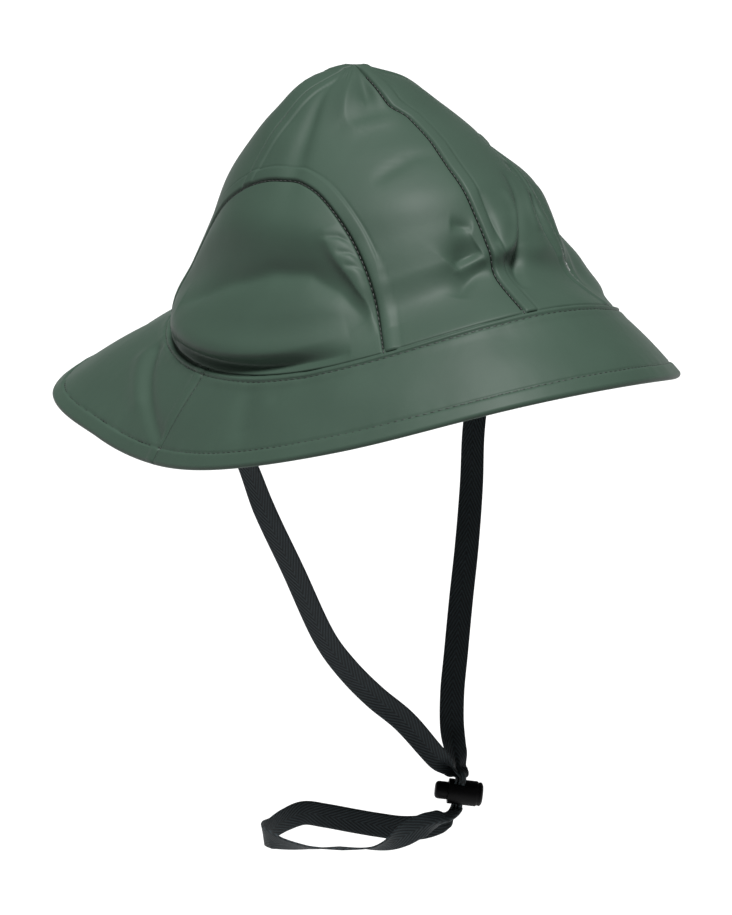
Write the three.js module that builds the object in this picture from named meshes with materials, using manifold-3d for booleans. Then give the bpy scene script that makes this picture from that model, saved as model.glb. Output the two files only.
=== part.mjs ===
// A sou'wester rain hat: four crown gores, two arched side panels, a brim in two
// pieces that is longest over the neck, and a webbing chin strap that runs through
// a spring cord lock and ends in a hanging loop.
//
// Lengths are millimetres. The origin is the middle of the head opening, +Z is up,
// the front of the hat faces -Y and +X is the wearer's left. Angles round the hat
// are degrees from the front, positive towards the wearer's left.

import * as THREE from "three";
import Module from "manifold-3d";

const wasm = await Module();
wasm.setup();

// Cloth and clearances
const CLOTH = 1.6;
const HEM_THICKNESS = 3.2;
const HEM_WIDTH = 7.5;
const SEAM_GAP = 0.36;

// Head opening, an ellipse whose seam line dips over the ears
const HEAD_HALF_WIDTH = 87.5;
const HEAD_HALF_LENGTH = 103.5;
const FRONT_LIFT = 19.5;
const EAR_DIP = 9.0;
const BROW_LIFT = 2.0;

// Crown
const CROWN_HEIGHT = 99.9;
const CROWN_SET_BACK = 28.5;
const SET_BACK_BOW = 0.43;
const CROWN_TIP = 0.994;

// Shares of the head opening at each share of the crown height. The three columns
// are the plain radius, how much wider it is over the ears and how much longer it
// is to the front.
const CROWN_PROFILE = [
  { height: 0.00, radius: 1.000, ears: 0.000, front: 0.000 },
  { height: 0.12, radius: 0.905, ears: 0.065, front: -0.045 },
  { height: 0.25, radius: 0.832, ears: 0.042, front: 0.012 },
  { height: 0.40, radius: 0.748, ears: 0.031, front: 0.056 },
  { height: 0.55, radius: 0.664, ears: 0.023, front: 0.076 },
  { height: 0.70, radius: 0.515, ears: 0.055, front: 0.062 },
  { height: 0.82, radius: 0.361, ears: 0.125, front: 0.012 },
  { height: 0.92, radius: 0.234, ears: 0.085, front: 0.000 },
  { height: 0.98, radius: 0.066, ears: 0.010, front: 0.000 },
  { height: 1.00, radius: 0.000, ears: 0.000, front: 0.000 },
];

// The front and back seams wander a little from the middle of the hat.
const CENTRE_SEAM = [
  { height: 0.00, angle: -1.5 },
  { height: 0.20, angle: 0.0 },
  { height: 0.60, angle: 0.0 },
  { height: 0.80, angle: 4.0 },
  { height: 0.86, angle: -6.0 },
  { height: 1.00, angle: -10.0 },
];
const SIDE_SEAM = 95;

// Arched side panels: where the arch is highest, how high it goes, and for its
// front and back halves how far they spread and how full their curve is
const ARCH_CENTRE = 74;
const ARCH_TOP = 0.652;
const ARCH_FOOT = 0.120;
const ARCH_FRONT = { spread: 36, fullness: 3.0, shoulder: 2.1 };
const ARCH_BACK = { spread: 50, fullness: 1.9, shoulder: 1.8 };

// Pillow of a side panel, in shares of the arch height under the seam
const PANEL_PILLOW = 3.2;
const PANEL_SHAPE = [
  { share: 0.00, push: 0.00 },
  { share: 0.20, push: 1.00 },
  { share: 0.52, push: -0.80 },
  { share: 0.82, push: 0.70 },
  { share: 1.00, push: 0.00 },
];

// Soft dents and folds of the crown: middle (degrees, share of height), reach along
// and across the fold, its lean from the horizontal, and how far it is pushed out
const CROWN_FOLDS = [
  { angle: -69, height: 0.77, along: 18, across: 7, lean: 105, push: -2.4 },
  { angle: -25, height: 0.87, along: 15, across: 8, lean: 5, push: -2.6 },
  { angle: -8, height: 0.24, along: 13, across: 7, lean: 60, push: -3.0 },
  { angle: -19, height: 0.09, along: 16, across: 6, lean: 50, push: -1.6 },
  { angle: 18, height: 0.26, along: 32, across: 6, lean: 48, push: -3.2 },
  { angle: 8, height: 0.31, along: 22, across: 5, lean: 56, push: 1.8 },
  { angle: 58, height: 0.64, along: 14, across: 6, lean: 5, push: -2.6 },
  { angle: 46, height: 0.20, along: 20, across: 8, lean: 70, push: -1.6 },
  { angle: 138, height: 0.45, along: 24, across: 9, lean: 70, push: -2.0 },
  { angle: -150, height: 0.40, along: 26, across: 10, lean: 100, push: -2.2 },
];
// Nothing is pushed at the brim seam, and everything fully from this height on.
const PUSH_RAMP = 0.12;
const FOLD_MM_PER_DEGREE = 1.45;
const FOLD_MM_PER_HEIGHT = 110;

// Brim: how far it reaches and how steeply it falls, round from the front to the back
const BRIM = [
  { angle: 0, reach: 42.2, fall: 33.8 },
  { angle: 45, reach: 40.0, fall: 46.6 },
  { angle: 90, reach: 44.4, fall: 54.0 },
  { angle: 112, reach: 50.7, fall: 46.9 },
  { angle: 138, reach: 69.8, fall: 35.0 },
  { angle: 160, reach: 79.9, fall: 34.1 },
  { angle: 180, reach: 84.1, fall: 30.6 },
];
const BRIM_CAMBER = 1.2;

// Soft waves of the brim edge, lifted or dropped
const BRIM_WAVES = [
  { angle: -103, spread: 12, lift: -1.8 },
  { angle: -62, spread: 22, lift: 2.1 },
  { angle: -20, spread: 20, lift: 2.3 },
  { angle: 60, spread: 18, lift: 1.8 },
  { angle: 150, spread: 20, lift: 1.6 },
  { angle: -165, spread: 22, lift: -0.5 },
];

// Chin strap tape
const TAPE_WIDTH = 10.4;
const TAPE_THICKNESS = 0.7;
const TAPE_FOLD_ARC = 1.0;
const TAPE_FULL_FOLD = 176;
const RIGHT_ANCHOR = -99;
const LEFT_ANCHOR = 111;
const ANCHOR_STITCHED = 16;
const TAPE_STAND_OFF = 1.5;

// Cord lock
const LOCK_CENTRE = [0.2, -55.8, -199.5];
const LOCK_TURN = 58;
const LOCK_TILT = -7;
const BARREL_DIAMETER = 10.8;
const BARREL_MOUTH = -4.6;
const BARREL_END = 10.2;
const BARREL_WALL = 1.3;
const BUTTON_END = -10.2;
const BUTTON_INNER = 6.4;
const BUTTON_TRAVEL = 2.2;
const BUTTON_CLEARANCE = 0.3;
const STRAP_PITCH = 1.2;
const WINDOW_LONG = 5.3;
const WINDOW_ACROSS = 6.0;

// Colours
const CLOTH_GREEN = 0x4b5e51;
const TAPE_BLACK = 0x1b2222;
const LOCK_BLACK = 0x08090b;

const rad = THREE.MathUtils.degToRad;
const clamp = THREE.MathUtils.clamp;

// Returns a smooth function through two columns of a table that never overshoots
// its rows.
function curve(table, from, to, flatEnds = false) {
  const x = table.map((row) => row[from]);
  const y = table.map((row) => row[to]);
  const last = x.length - 1;
  const slope = x.slice(1).map((next, i) => (y[i + 1] - y[i]) / (next - x[i]));
  const tangent = x.map((_, i) => {
    if (i === 0 || i === last) return flatEnds ? 0 : slope[i === 0 ? 0 : last - 1];
    if (slope[i - 1] * slope[i] <= 0) return 0;
    return (2 * slope[i - 1] * slope[i]) / (slope[i - 1] + slope[i]);
  });
  return (at) => {
    const v = clamp(at, x[0], x[last]);
    let i = 0;
    while (i < last - 1 && v > x[i + 1]) i += 1;
    const step = x[i + 1] - x[i];
    const t = (v - x[i]) / step;
    const a = (1 + 2 * t) * (1 - t) * (1 - t) * y[i];
    const b = t * (1 - t) * (1 - t) * step * tangent[i];
    const c = t * t * (3 - 2 * t) * y[i + 1];
    const d = t * t * (t - 1) * step * tangent[i + 1];
    return a + b + c + d;
  };
}

const radiusAt = curve(CROWN_PROFILE, "height", "radius");
const earsAt = curve(CROWN_PROFILE, "height", "ears");
const frontAt = curve(CROWN_PROFILE, "height", "front");
const centreSeamAt = curve(CENTRE_SEAM, "height", "angle");
const pillowAt = curve(PANEL_SHAPE, "share", "push");
const reachAt = curve(BRIM, "angle", "reach", true);
const fallAt = curve(BRIM, "angle", "fall", true);

// Turns any angle into the range -180 to 180.
function wrap(angle) {
  return ((((angle + 180) % 360) + 360) % 360) - 180;
}

// The seam line where the brim meets the crown.
function seamHeight(angle) {
  const a = rad(angle);
  return FRONT_LIFT * Math.cos(a) + EAR_DIP * Math.cos(2 * a) + BROW_LIFT * Math.cos(3 * a);
}

function seamPoint(angle) {
  const a = rad(angle);
  const x = HEAD_HALF_WIDTH * Math.sin(a);
  const y = -HEAD_HALF_LENGTH * Math.cos(a);
  return new THREE.Vector3(x, y, seamHeight(angle));
}

function seamOutward(angle) {
  const a = rad(angle);
  const x = HEAD_HALF_LENGTH * Math.sin(a);
  const y = -HEAD_HALF_WIDTH * Math.cos(a);
  return new THREE.Vector3(x, y, 0).normalize();
}

// Share of the way from the top of an arch to its end, and the half it lies in.
function archPlace(angle) {
  const around = Math.abs(wrap(angle));
  const half = around < ARCH_CENTRE ? ARCH_FRONT : ARCH_BACK;
  return { half, share: Math.abs(around - ARCH_CENTRE) / half.spread };
}

// Height share of the arched seam above an angle, or zero outside the arch.
function archHeight(angle) {
  const { half, share } = archPlace(angle);
  if (share > 1) return 0;
  const rise = Math.pow(1 - Math.pow(share, half.fullness), 1 / half.shoulder);
  return ARCH_FOOT + (ARCH_TOP - ARCH_FOOT) * rise;
}

// How far folds and the side panel's pillow push the crown outwards.
function crownPush(angle, height) {
  let push = 0;
  for (const fold of CROWN_FOLDS) {
    const u = wrap(angle - fold.angle) * FOLD_MM_PER_DEGREE;
    const v = (height - fold.height) * FOLD_MM_PER_HEIGHT;
    const lean = rad(fold.lean);
    const along = (u * Math.cos(lean) + v * Math.sin(lean)) / fold.along;
    const across = (v * Math.cos(lean) - u * Math.sin(lean)) / fold.across;
    push += fold.push * Math.exp(-along * along - across * across);
  }
  const top = archHeight(angle);
  if (top > 0 && height < top) {
    const { share } = archPlace(angle);
    const ease = (top / ARCH_TOP) * (1 - Math.pow(share, 4));
    push += PANEL_PILLOW * pillowAt(height / top) * ease;
  }
  const ramp = Math.min(1, height / PUSH_RAMP);
  return push * ramp * (2 - ramp);
}

// Outer surface of the crown.
function crownPoint(angle, height) {
  const a = rad(angle);
  const stretch = frontAt(height) * Math.cos(a) - earsAt(height) * Math.cos(2 * a);
  const share = radiusAt(height) * (1 + stretch);
  const back = CROWN_SET_BACK * height * (1 + SET_BACK_BOW * (1 - height));
  const foot = seamPoint(angle);
  const push = crownPush(angle, height);
  const out = seamOutward(angle);
  const x = foot.x * share + out.x * push;
  const y = foot.y * share + back + out.y * push;
  const z = foot.z * (1 - height) + CROWN_HEIGHT * height;
  return new THREE.Vector3(x, y, z);
}

// Unit normal of the crown, pointing out of the hat.
function crownNormal(angle, height) {
  const low = Math.max(0, height - 0.004);
  const high = Math.min(CROWN_TIP, height + 0.004);
  const across = crownPoint(angle + 0.5, height).sub(crownPoint(angle - 0.5, height));
  const up = crownPoint(angle, high).sub(crownPoint(angle, low));
  return across.cross(up).normalize();
}

// Builds a closed solid from a grid of columns, each a list of outer points with
// the inner points behind them.
function clothSolid(outer, inner) {
  const columns = outer.length;
  const rows = outer[0].length;
  const position = [];
  for (const layer of [outer, inner]) {
    for (const column of layer) {
      for (const point of column) position.push(point.x, point.y, point.z);
    }
  }
  const at = (layer, i, j) => layer * columns * rows + i * rows + j;
  const index = [];
  const quad = (a, b, c, d) => index.push(a, b, c, a, c, d);
  for (let i = 0; i + 1 < columns; i += 1) {
    for (let j = 0; j + 1 < rows; j += 1) {
      quad(at(0, i, j), at(0, i + 1, j), at(0, i + 1, j + 1), at(0, i, j + 1));
      quad(at(1, i, j), at(1, i, j + 1), at(1, i + 1, j + 1), at(1, i + 1, j));
    }
    quad(at(0, i, 0), at(1, i, 0), at(1, i + 1, 0), at(0, i + 1, 0));
    const top = rows - 1;
    quad(at(0, i, top), at(0, i + 1, top), at(1, i + 1, top), at(1, i, top));
  }
  for (let j = 0; j + 1 < rows; j += 1) {
    const end = columns - 1;
    quad(at(0, 0, j), at(0, 0, j + 1), at(1, 0, j + 1), at(1, 0, j));
    quad(at(0, end, j), at(1, end, j), at(1, end, j + 1), at(0, end, j + 1));
  }
  return fromLists(position, index);
}

function fromLists(position, index) {
  const geometry = new THREE.BufferGeometry();
  geometry.setAttribute("position", new THREE.Float32BufferAttribute(position, 3));
  geometry.setIndex(index);
  return geometry;
}

// A crown panel of the given number of columns and rows of cells. The angle of a
// column may depend on the height, so that seams can wander.
function crownPanel(columns, rows, angleAt, heightAt) {
  const outer = [];
  const inner = [];
  for (let i = 0; i < columns; i += 1) {
    outer.push([]);
    inner.push([]);
    for (let j = 0; j <= rows; j += 1) {
      const height = heightAt(i, j);
      const angle = angleAt(i, height);
      const point = crownPoint(angle, height);
      const normal = crownNormal(angle, height);
      outer[i].push(point);
      inner[i].push(point.clone().addScaledVector(normal, -CLOTH));
    }
  }
  return clothSolid(outer, inner);
}

// Degrees that half a seam gap takes up at a height.
function gapDegrees(height) {
  const radius = HEAD_HALF_WIDTH * radiusAt(height);
  return THREE.MathUtils.radToDeg(SEAM_GAP / 2 / Math.max(radius, 1));
}

const CENTRE_COLUMNS = 5;
const FRONT_ARCH_COLUMNS = 8;
const BACK_ARCH_COLUMNS = 5;
const GORE_ROWS = 13;
const PANEL_ROWS = 8;
const GAP_HEIGHT = SEAM_GAP / CROWN_HEIGHT;
const GAP_ANGLE = THREE.MathUtils.radToDeg(SEAM_GAP / HEAD_HALF_WIDTH);

// Angles between an end of the arched seam and the side seam, closest together at
// the steep end. The gore and the panel share them, so that their edges stay apart.
function archAngles(end, edge, count) {
  const angles = [];
  for (let i = 1; i < count; i += 1) {
    angles.push(end + (edge - end) * Math.pow(i / count, 1.35));
  }
  return angles;
}

// Height of the arched seam, moved out of the arch (above 0) or into it (below 0)
// by a share of the seam gap.
function clearArch(angle, share) {
  const outward = Math.sign(angle) * Math.sign(Math.abs(angle) - ARCH_CENTRE) || 1;
  const moved = angle - outward * share * GAP_ANGLE * 1.4;
  return archHeight(moved) + share * GAP_HEIGHT;
}

function archEnd(side, front) {
  return side * (front ? ARCH_CENTRE - ARCH_FRONT.spread : ARCH_CENTRE + ARCH_BACK.spread);
}

// A gore from the centre seam to the side seam. Its foot stands on the brim seam
// beside the arch and on the arched seam above it.
function gore(side, front) {
  const end = archEnd(side, front);
  const middle = front ? 0 : 180 * side;
  const edge = SIDE_SEAM * side;
  const inward = Math.sign(middle - edge);
  const count = front ? FRONT_ARCH_COLUMNS : BACK_ARCH_COLUMNS;
  const columns = [];
  for (let i = 0; i <= CENTRE_COLUMNS; i += 1) {
    columns.push({ share: i / CENTRE_COLUMNS, angle: end + inward * GAP_ANGLE * 0.5, low: 0 });
  }
  columns.push({ share: 1, angle: end + inward * GAP_ANGLE * 0.1, low: ARCH_FOOT });
  for (const angle of archAngles(end, edge, count)) {
    columns.push({ share: 1, angle, low: clearArch(angle, 0.6) });
  }
  columns.push({ share: 1, angle: edge, low: clearArch(edge, 0.6), seam: true });
  if (middle > edge) columns.reverse();
  const angleAt = (i, height) => {
    const column = columns[i];
    const seam = middle + centreSeamAt(height) - inward * gapDegrees(height);
    const outer = column.angle + (column.seam ? inward * gapDegrees(height) : 0);
    return seam + (outer - seam) * column.share;
  };
  const heightAt = (i, j) => {
    const column = columns[i];
    const low = column.low + 0.7 * GAP_HEIGHT;
    return low + (CROWN_TIP - low) * Math.sin((j * Math.PI) / 2 / GORE_ROWS);
  };
  return crownPanel(columns.length, GORE_ROWS, angleAt, heightAt);
}

// An arched side panel between the brim seam and the arched seam.
function sidePanel(side) {
  const edge = SIDE_SEAM * side;
  const front = archEnd(side, true);
  const back = archEnd(side, false);
  const angles = [
    front + side * GAP_ANGLE * 0.5,
    ...archAngles(front, edge, FRONT_ARCH_COLUMNS),
    edge,
    ...archAngles(back, edge, BACK_ARCH_COLUMNS).reverse(),
    back - side * GAP_ANGLE * 0.5,
  ];
  angles.sort((a, b) => a - b);
  const angleAt = (i) => angles[i];
  const heightAt = (i, j) => {
    const low = 0.7 * GAP_HEIGHT;
    const high = Math.max(clearArch(angles[i], -0.7), ARCH_FOOT - 0.7 * GAP_HEIGHT);
    return low + ((high - low) * j) / PANEL_ROWS;
  };
  return crownPanel(angles.length, PANEL_ROWS, angleAt, heightAt);
}

// Lift of the brim edge by its waves.
function brimWave(angle) {
  let lift = 0;
  for (const wave of BRIM_WAVES) {
    const t = wrap(angle - wave.angle) / wave.spread;
    lift += wave.lift * Math.exp(-t * t);
  }
  return lift;
}

// A point of the brim at a distance from the seam and a depth below its top face.
function brimPoint(angle, distance, depth) {
  const around = Math.abs(wrap(angle));
  const reach = reachAt(around);
  const fall = rad(fallAt(around));
  const out = seamOutward(angle);
  const share = clamp(distance / reach, 0, 1);
  const bow = BRIM_CAMBER * Math.sin(Math.PI * share) + brimWave(angle) * share * share;
  const level = distance * Math.cos(fall) + (bow - depth) * Math.sin(fall);
  const drop = distance * Math.sin(fall) - (bow - depth) * Math.cos(fall);
  const point = seamPoint(angle).addScaledVector(out, level);
  point.z -= drop;
  return point;
}

// Section of the brim as distance from the seam and depth: a single cloth that
// turns into a thicker rounded hem at the edge.
function brimSection(angle) {
  const reach = reachAt(Math.abs(wrap(angle)));
  const hem = reach - HEM_WIDTH;
  const bulge = (HEM_THICKNESS - CLOTH) / 2;
  const round = HEM_THICKNESS / 2;
  return [
    [0.3, 0.15],
    [reach * 0.25, 0],
    [reach * 0.55, 0],
    [hem, 0],
    [hem + 0.8, -bulge],
    [reach - round, -bulge],
    [reach - 0.3 * round, -bulge + 0.3 * round],
    [reach, CLOTH / 2],
    [reach - 0.3 * round, CLOTH + bulge - 0.3 * round],
    [reach - round, CLOTH + bulge],
    [hem + 0.8, CLOTH + bulge],
    [hem, CLOTH],
    [reach * 0.55, CLOTH],
    [reach * 0.25, CLOTH],
    [0.3, CLOTH + 0.15],
  ];
}

// Joins closed sections of equal size into a solid with a cap at each end.
function sweptSolid(sections, capOutline) {
  const size = sections[0].length;
  const position = [];
  for (const section of sections) {
    for (const point of section) position.push(point.x, point.y, point.z);
  }
  const index = [];
  for (let i = 0; i + 1 < sections.length; i += 1) {
    for (let j = 0; j < size; j += 1) {
      const next = (j + 1) % size;
      const a = i * size + j;
      const b = i * size + next;
      const c = (i + 1) * size + next;
      const d = (i + 1) * size + j;
      index.push(a, d, c, a, c, b);
    }
  }
  const outline = capOutline.map(([u, v]) => new THREE.Vector2(u, v));
  const base = (sections.length - 1) * size;
  const winding = Math.sign(THREE.ShapeUtils.area(outline));
  for (const face of THREE.ShapeUtils.triangulateShape(outline, [])) {
    const turn = Math.sign(THREE.ShapeUtils.area(face.map((k) => outline[k])));
    const [a, b, c] = turn === winding ? face : [face[0], face[2], face[1]];
    index.push(a, b, c, base + a, base + c, base + b);
  }
  return outwards(fromLists(position, index));
}

// Signed volume decides whether the faces have to be turned round.
function outwards(geometry) {
  const p = geometry.getAttribute("position");
  const index = Array.from(geometry.getIndex().array);
  const [a, b, c] = [new THREE.Vector3(), new THREE.Vector3(), new THREE.Vector3()];
  let volume = 0;
  for (let i = 0; i < index.length; i += 3) {
    a.fromBufferAttribute(p, index[i]);
    b.fromBufferAttribute(p, index[i + 1]);
    c.fromBufferAttribute(p, index[i + 2]);
    volume += a.dot(b.cross(c)) / 6;
  }
  if (volume < 0) {
    for (let i = 0; i < index.length; i += 3) {
      [index[i + 1], index[i + 2]] = [index[i + 2], index[i + 1]];
    }
    geometry.setIndex(index);
  }
  return geometry;
}

const BRIM_COLUMNS = 30;

function brimPiece(from, to) {
  const clear = THREE.MathUtils.radToDeg(SEAM_GAP / 2 / HEAD_HALF_LENGTH);
  const sections = [];
  for (let i = 0; i <= BRIM_COLUMNS; i += 1) {
    const angle = from + clear + ((to - from - 2 * clear) * i) / BRIM_COLUMNS;
    sections.push(brimSection(angle).map(([s, d]) => brimPoint(angle, s, d)));
  }
  return sweptSolid(sections, brimSection(from));
}

// Frame of the cord lock: along its barrel, across it towards the wearer's front
// right, and down along the strap that passes through it.
const lockAxis = new THREE.Vector3(
  Math.sin(rad(LOCK_TURN)) * Math.cos(rad(LOCK_TILT)),
  -Math.cos(rad(LOCK_TURN)) * Math.cos(rad(LOCK_TILT)),
  Math.sin(rad(LOCK_TILT)),
);
const lockAcross = new THREE.Vector3(
  Math.sin(rad(LOCK_TURN - 90)),
  -Math.cos(rad(LOCK_TURN - 90)),
  0,
);
const lockDown = new THREE.Vector3().crossVectors(lockAxis, lockAcross).normalize();
const lockCentre = new THREE.Vector3(...LOCK_CENTRE);

// A point in the lock's frame.
function atLock(along, across, down) {
  return lockCentre.clone()
    .addScaledVector(lockAxis, along)
    .addScaledVector(lockAcross, across)
    .addScaledVector(lockDown, down);
}

// Places a geometry modelled with X along the barrel, Y across and Z down.
function placeAtLock(geometry) {
  const matrix = new THREE.Matrix4().makeBasis(lockAxis, lockAcross, lockDown);
  matrix.setPosition(lockCentre);
  return geometry.applyMatrix4(matrix);
}

function toManifold(geometry) {
  const merged = weld(geometry);
  return new wasm.Manifold(new wasm.Mesh({
    numProp: 3,
    vertProperties: new Float32Array(merged.position),
    triVerts: new Uint32Array(merged.index),
  }));
}

// Joins vertices that share a place and drops the triangles that vanish.
function weld(geometry) {
  const p = geometry.getAttribute("position");
  const source = geometry.getIndex();
  const count = source ? source.count : p.count;
  const seen = new Map();
  const position = [];
  const index = [];
  for (let i = 0; i < count; i += 3) {
    const corner = [0, 1, 2].map((k) => {
      const v = source ? source.getX(i + k) : i + k;
      const point = [p.getX(v), p.getY(v), p.getZ(v)];
      const key = point.map((n) => Math.round(n * 1e4)).join(",");
      if (!seen.has(key)) {
        seen.set(key, position.length / 3);
        position.push(...point);
      }
      return seen.get(key);
    });
    const flat = corner[0] === corner[1] || corner[1] === corner[2] || corner[0] === corner[2];
    if (!flat) index.push(...corner);
  }
  return { position, index };
}

function toGeometry(manifold) {
  const mesh = manifold.getMesh();
  const position = [];
  for (let i = 0; i < mesh.vertProperties.length; i += mesh.numProp) {
    position.push(...mesh.vertProperties.slice(i, i + 3));
  }
  return fromLists(position, Array.from(mesh.triVerts));
}

// A turned piece along X from a profile of distance along the axis and radius.
function turned(profile, segments) {
  const points = profile.map(([x, r]) => new THREE.Vector2(r, x));
  const geometry = new THREE.LatheGeometry(points, segments);
  geometry.rotateZ(-Math.PI / 2);
  const welded = weld(geometry);
  return outwards(fromLists(welded.position, welded.index));
}

// A rectangular hole along the strap's direction.
function windowBox(from, to, across) {
  const box = new THREE.BoxGeometry(to - from, across, BARREL_DIAMETER * 2);
  box.translate((from + to) / 2, 0, 0);
  return box;
}

const TURNED_SEGMENTS = 28;
const boreRadius = BARREL_DIAMETER / 2 - BARREL_WALL;
const buttonRadius = boreRadius - BUTTON_CLEARANCE;

function lockBarrel() {
  const radius = BARREL_DIAMETER / 2;
  const body = turned([
    [BARREL_MOUTH, boreRadius],
    [BARREL_MOUTH, radius - 0.5],
    [BARREL_MOUTH + 0.5, radius],
    [BARREL_END - 2.6, radius],
    [BARREL_END - 2.2, radius - 0.35],
    [BARREL_END - 1.4, radius - 0.35],
    [BARREL_END - 0.5, radius - 0.8],
    [BARREL_END, radius - 1.8],
    [BARREL_END, 0],
    [BARREL_END - BARREL_WALL, 0],
    [BARREL_END - BARREL_WALL, boreRadius],
    [BARREL_MOUTH, boreRadius],
  ], TURNED_SEGMENTS);
  const hole = windowBox(-WINDOW_LONG / 2, WINDOW_LONG / 2, WINDOW_ACROSS);
  const cut = toManifold(body).subtract(toManifold(hole));
  return placeAtLock(toGeometry(cut));
}

function lockButton() {
  const body = turned([
    [BUTTON_END, 0],
    [BUTTON_END, buttonRadius - 1.4],
    [BUTTON_END + 0.4, buttonRadius - 0.6],
    [BUTTON_END + 1.2, buttonRadius],
    [BUTTON_INNER - 0.5, buttonRadius],
    [BUTTON_INNER, buttonRadius - 0.5],
    [BUTTON_INNER, 0],
  ], TURNED_SEGMENTS);
  const from = -WINDOW_LONG / 2 - BUTTON_TRAVEL;
  const hole = windowBox(from, WINDOW_LONG / 2, WINDOW_ACROSS);
  const cut = toManifold(body).subtract(toManifold(hole));
  return placeAtLock(toGeometry(cut));
}

// Stations of the tape: place, the way its face looks (turn and lift in degrees)
// and how far it is folded lengthwise, from 0 for flat to 1 for folded in two.
function station(point, turn, lift, fold) {
  const face = new THREE.Vector3(
    Math.sin(rad(turn)) * Math.cos(rad(lift)),
    -Math.cos(rad(turn)) * Math.cos(rad(lift)),
    Math.sin(rad(lift)),
  );
  return { point, face, fold };
}

// A stitched tape end lies flat on the inner wall of the crown.
function anchored(angle, rise) {
  const height = Math.max(0.01, rise / CROWN_HEIGHT);
  const face = crownNormal(angle, height);
  const back = CLOTH + TAPE_STAND_OFF + TAPE_THICKNESS / 2;
  const point = crownPoint(angle, height).addScaledVector(face, -back);
  point.z += Math.min(0, rise);
  return { point, face, fold: 0 };
}

// Free stations of the strap as x, y, z, turn, lift and fold
const RIGHT_RUN = [
  [-80.5, -1.0, -32.0, -85, 0, 0],
  [-75.2, -9.6, -49.0, -68, 5, 0],
  [-71.0, -16.5, -68.0, -56, 8, 0],
  [-62.3, -24.4, -94.0, -54, 8, 0],
  [-50.8, -31.6, -126.0, -50, 10, 0],
  [-42.4, -35.0, -140.0, -42, 12, 0],
  [-31.4, -38.6, -153.8, -34, 16, 0.04],
  [-19.4, -43.4, -166.4, -32, 20, 0.10],
  [-7.4, -50.0, -183.5, -32, 16, 0.24],
  [-1.8, -51.9, -189.8, -32, 6, 0.70],
];
const LOOP = [
  [-3.0, -54.6, -209.2, -32, 8, 0.86],
  [-5.0, -53.0, -212.0, -32, 14, 0.42],
  [-8.0, -50.4, -214.6, -32, 18, 0.08],
  [-12.5, -47.0, -216.7, -32, 21, 0],
  [-18.7, -40.8, -218.2, -32, 22, 0],
  [-26.3, -33.5, -217.9, -32, 22, 0],
  [-34.9, -26.4, -216.6, -32, 22, 0],
  [-44.6, -20.0, -214.4, -32, 20, 0],
  [-53.4, -17.3, -212.0, -30, 16, 0],
  [-63.6, -18.6, -212.0, -8, 8, 0],
  [-72.9, -22.0, -212.5, 30, 4, 0],
  [-78.9, -27.0, -210.8, 75, 4, 0],
  [-80.1, -34.0, -209.8, 118, 14, 0],
  [-76.0, -40.0, -210.6, 136, 38, 0],
  [-68.0, -46.1, -211.7, 146, 58, 0],
  [-56.2, -52.4, -212.5, 148, 68, 0],
  [-44.9, -56.6, -213.5, 148, 60, 0],
  [-35.7, -57.7, -213.2, 148, 26, 0.02],
  [-27.4, -58.0, -211.2, 148, -4, 0.06],
  [-19.8, -58.2, -209.4, 148, -8, 0.14],
  [-12.9, -58.6, -208.4, 148, -4, 0.50],
  [-6.8, -58.8, -208.4, 148, -2, 0.90],
];
const LEFT_RUN = [
  [3.2, -51.7, -190.8, 148, 0, 0.75],
  [4.7, -46.1, -185.0, 148, 0, 0.30],
  [7.1, -39.6, -177.4, 148, 0, 0.06],
  [11.5, -32.7, -164.7, 146, 0, 0],
  [17.5, -25.9, -151.5, 145, 0, 0],
  [26.6, -15.6, -131.8, 144, 0, 0],
  [36.0, -5.4, -111.6, 140, 0, 0],
  [45.6, 6.2, -90.0, 134, 0, 0],
  [54.0, 17.6, -69.0, 128, 0, 0],
  [63.6, 26.8, -49.0, 122, 0, 0],
  [72.6, 32.6, -30.0, 116, 0, 0],
];

function freeStations(rows) {
  return rows.map(([x, y, z, turn, lift, fold]) => (
    station(new THREE.Vector3(x, y, z), turn, lift, fold)));
}

// The two passes through the lock, folded in two side by side.
function lockPass(side, turn, downwards) {
  const heights = [-7.5, -4, 0, 4, 7.0];
  const order = downwards ? heights : heights.slice().reverse();
  return order.map((down) => station(atLock(side * STRAP_PITCH, 0, down), turn, 0, 1));
}

function strapStations() {
  const rightEnd = [ANCHOR_STITCHED, 9, 3, -4].map((rise) => anchored(RIGHT_ANCHOR, rise));
  const leftEnd = [-4, 3, 9, ANCHOR_STITCHED].map((rise) => anchored(LEFT_ANCHOR, rise));
  return [
    ...rightEnd,
    ...freeStations(RIGHT_RUN),
    ...lockPass(-1, LOCK_TURN - 90, true),
    ...freeStations(LOOP),
    ...lockPass(1, LOCK_TURN + 90, false),
    ...freeStations(LEFT_RUN),
    ...leftEnd,
  ];
}

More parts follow.
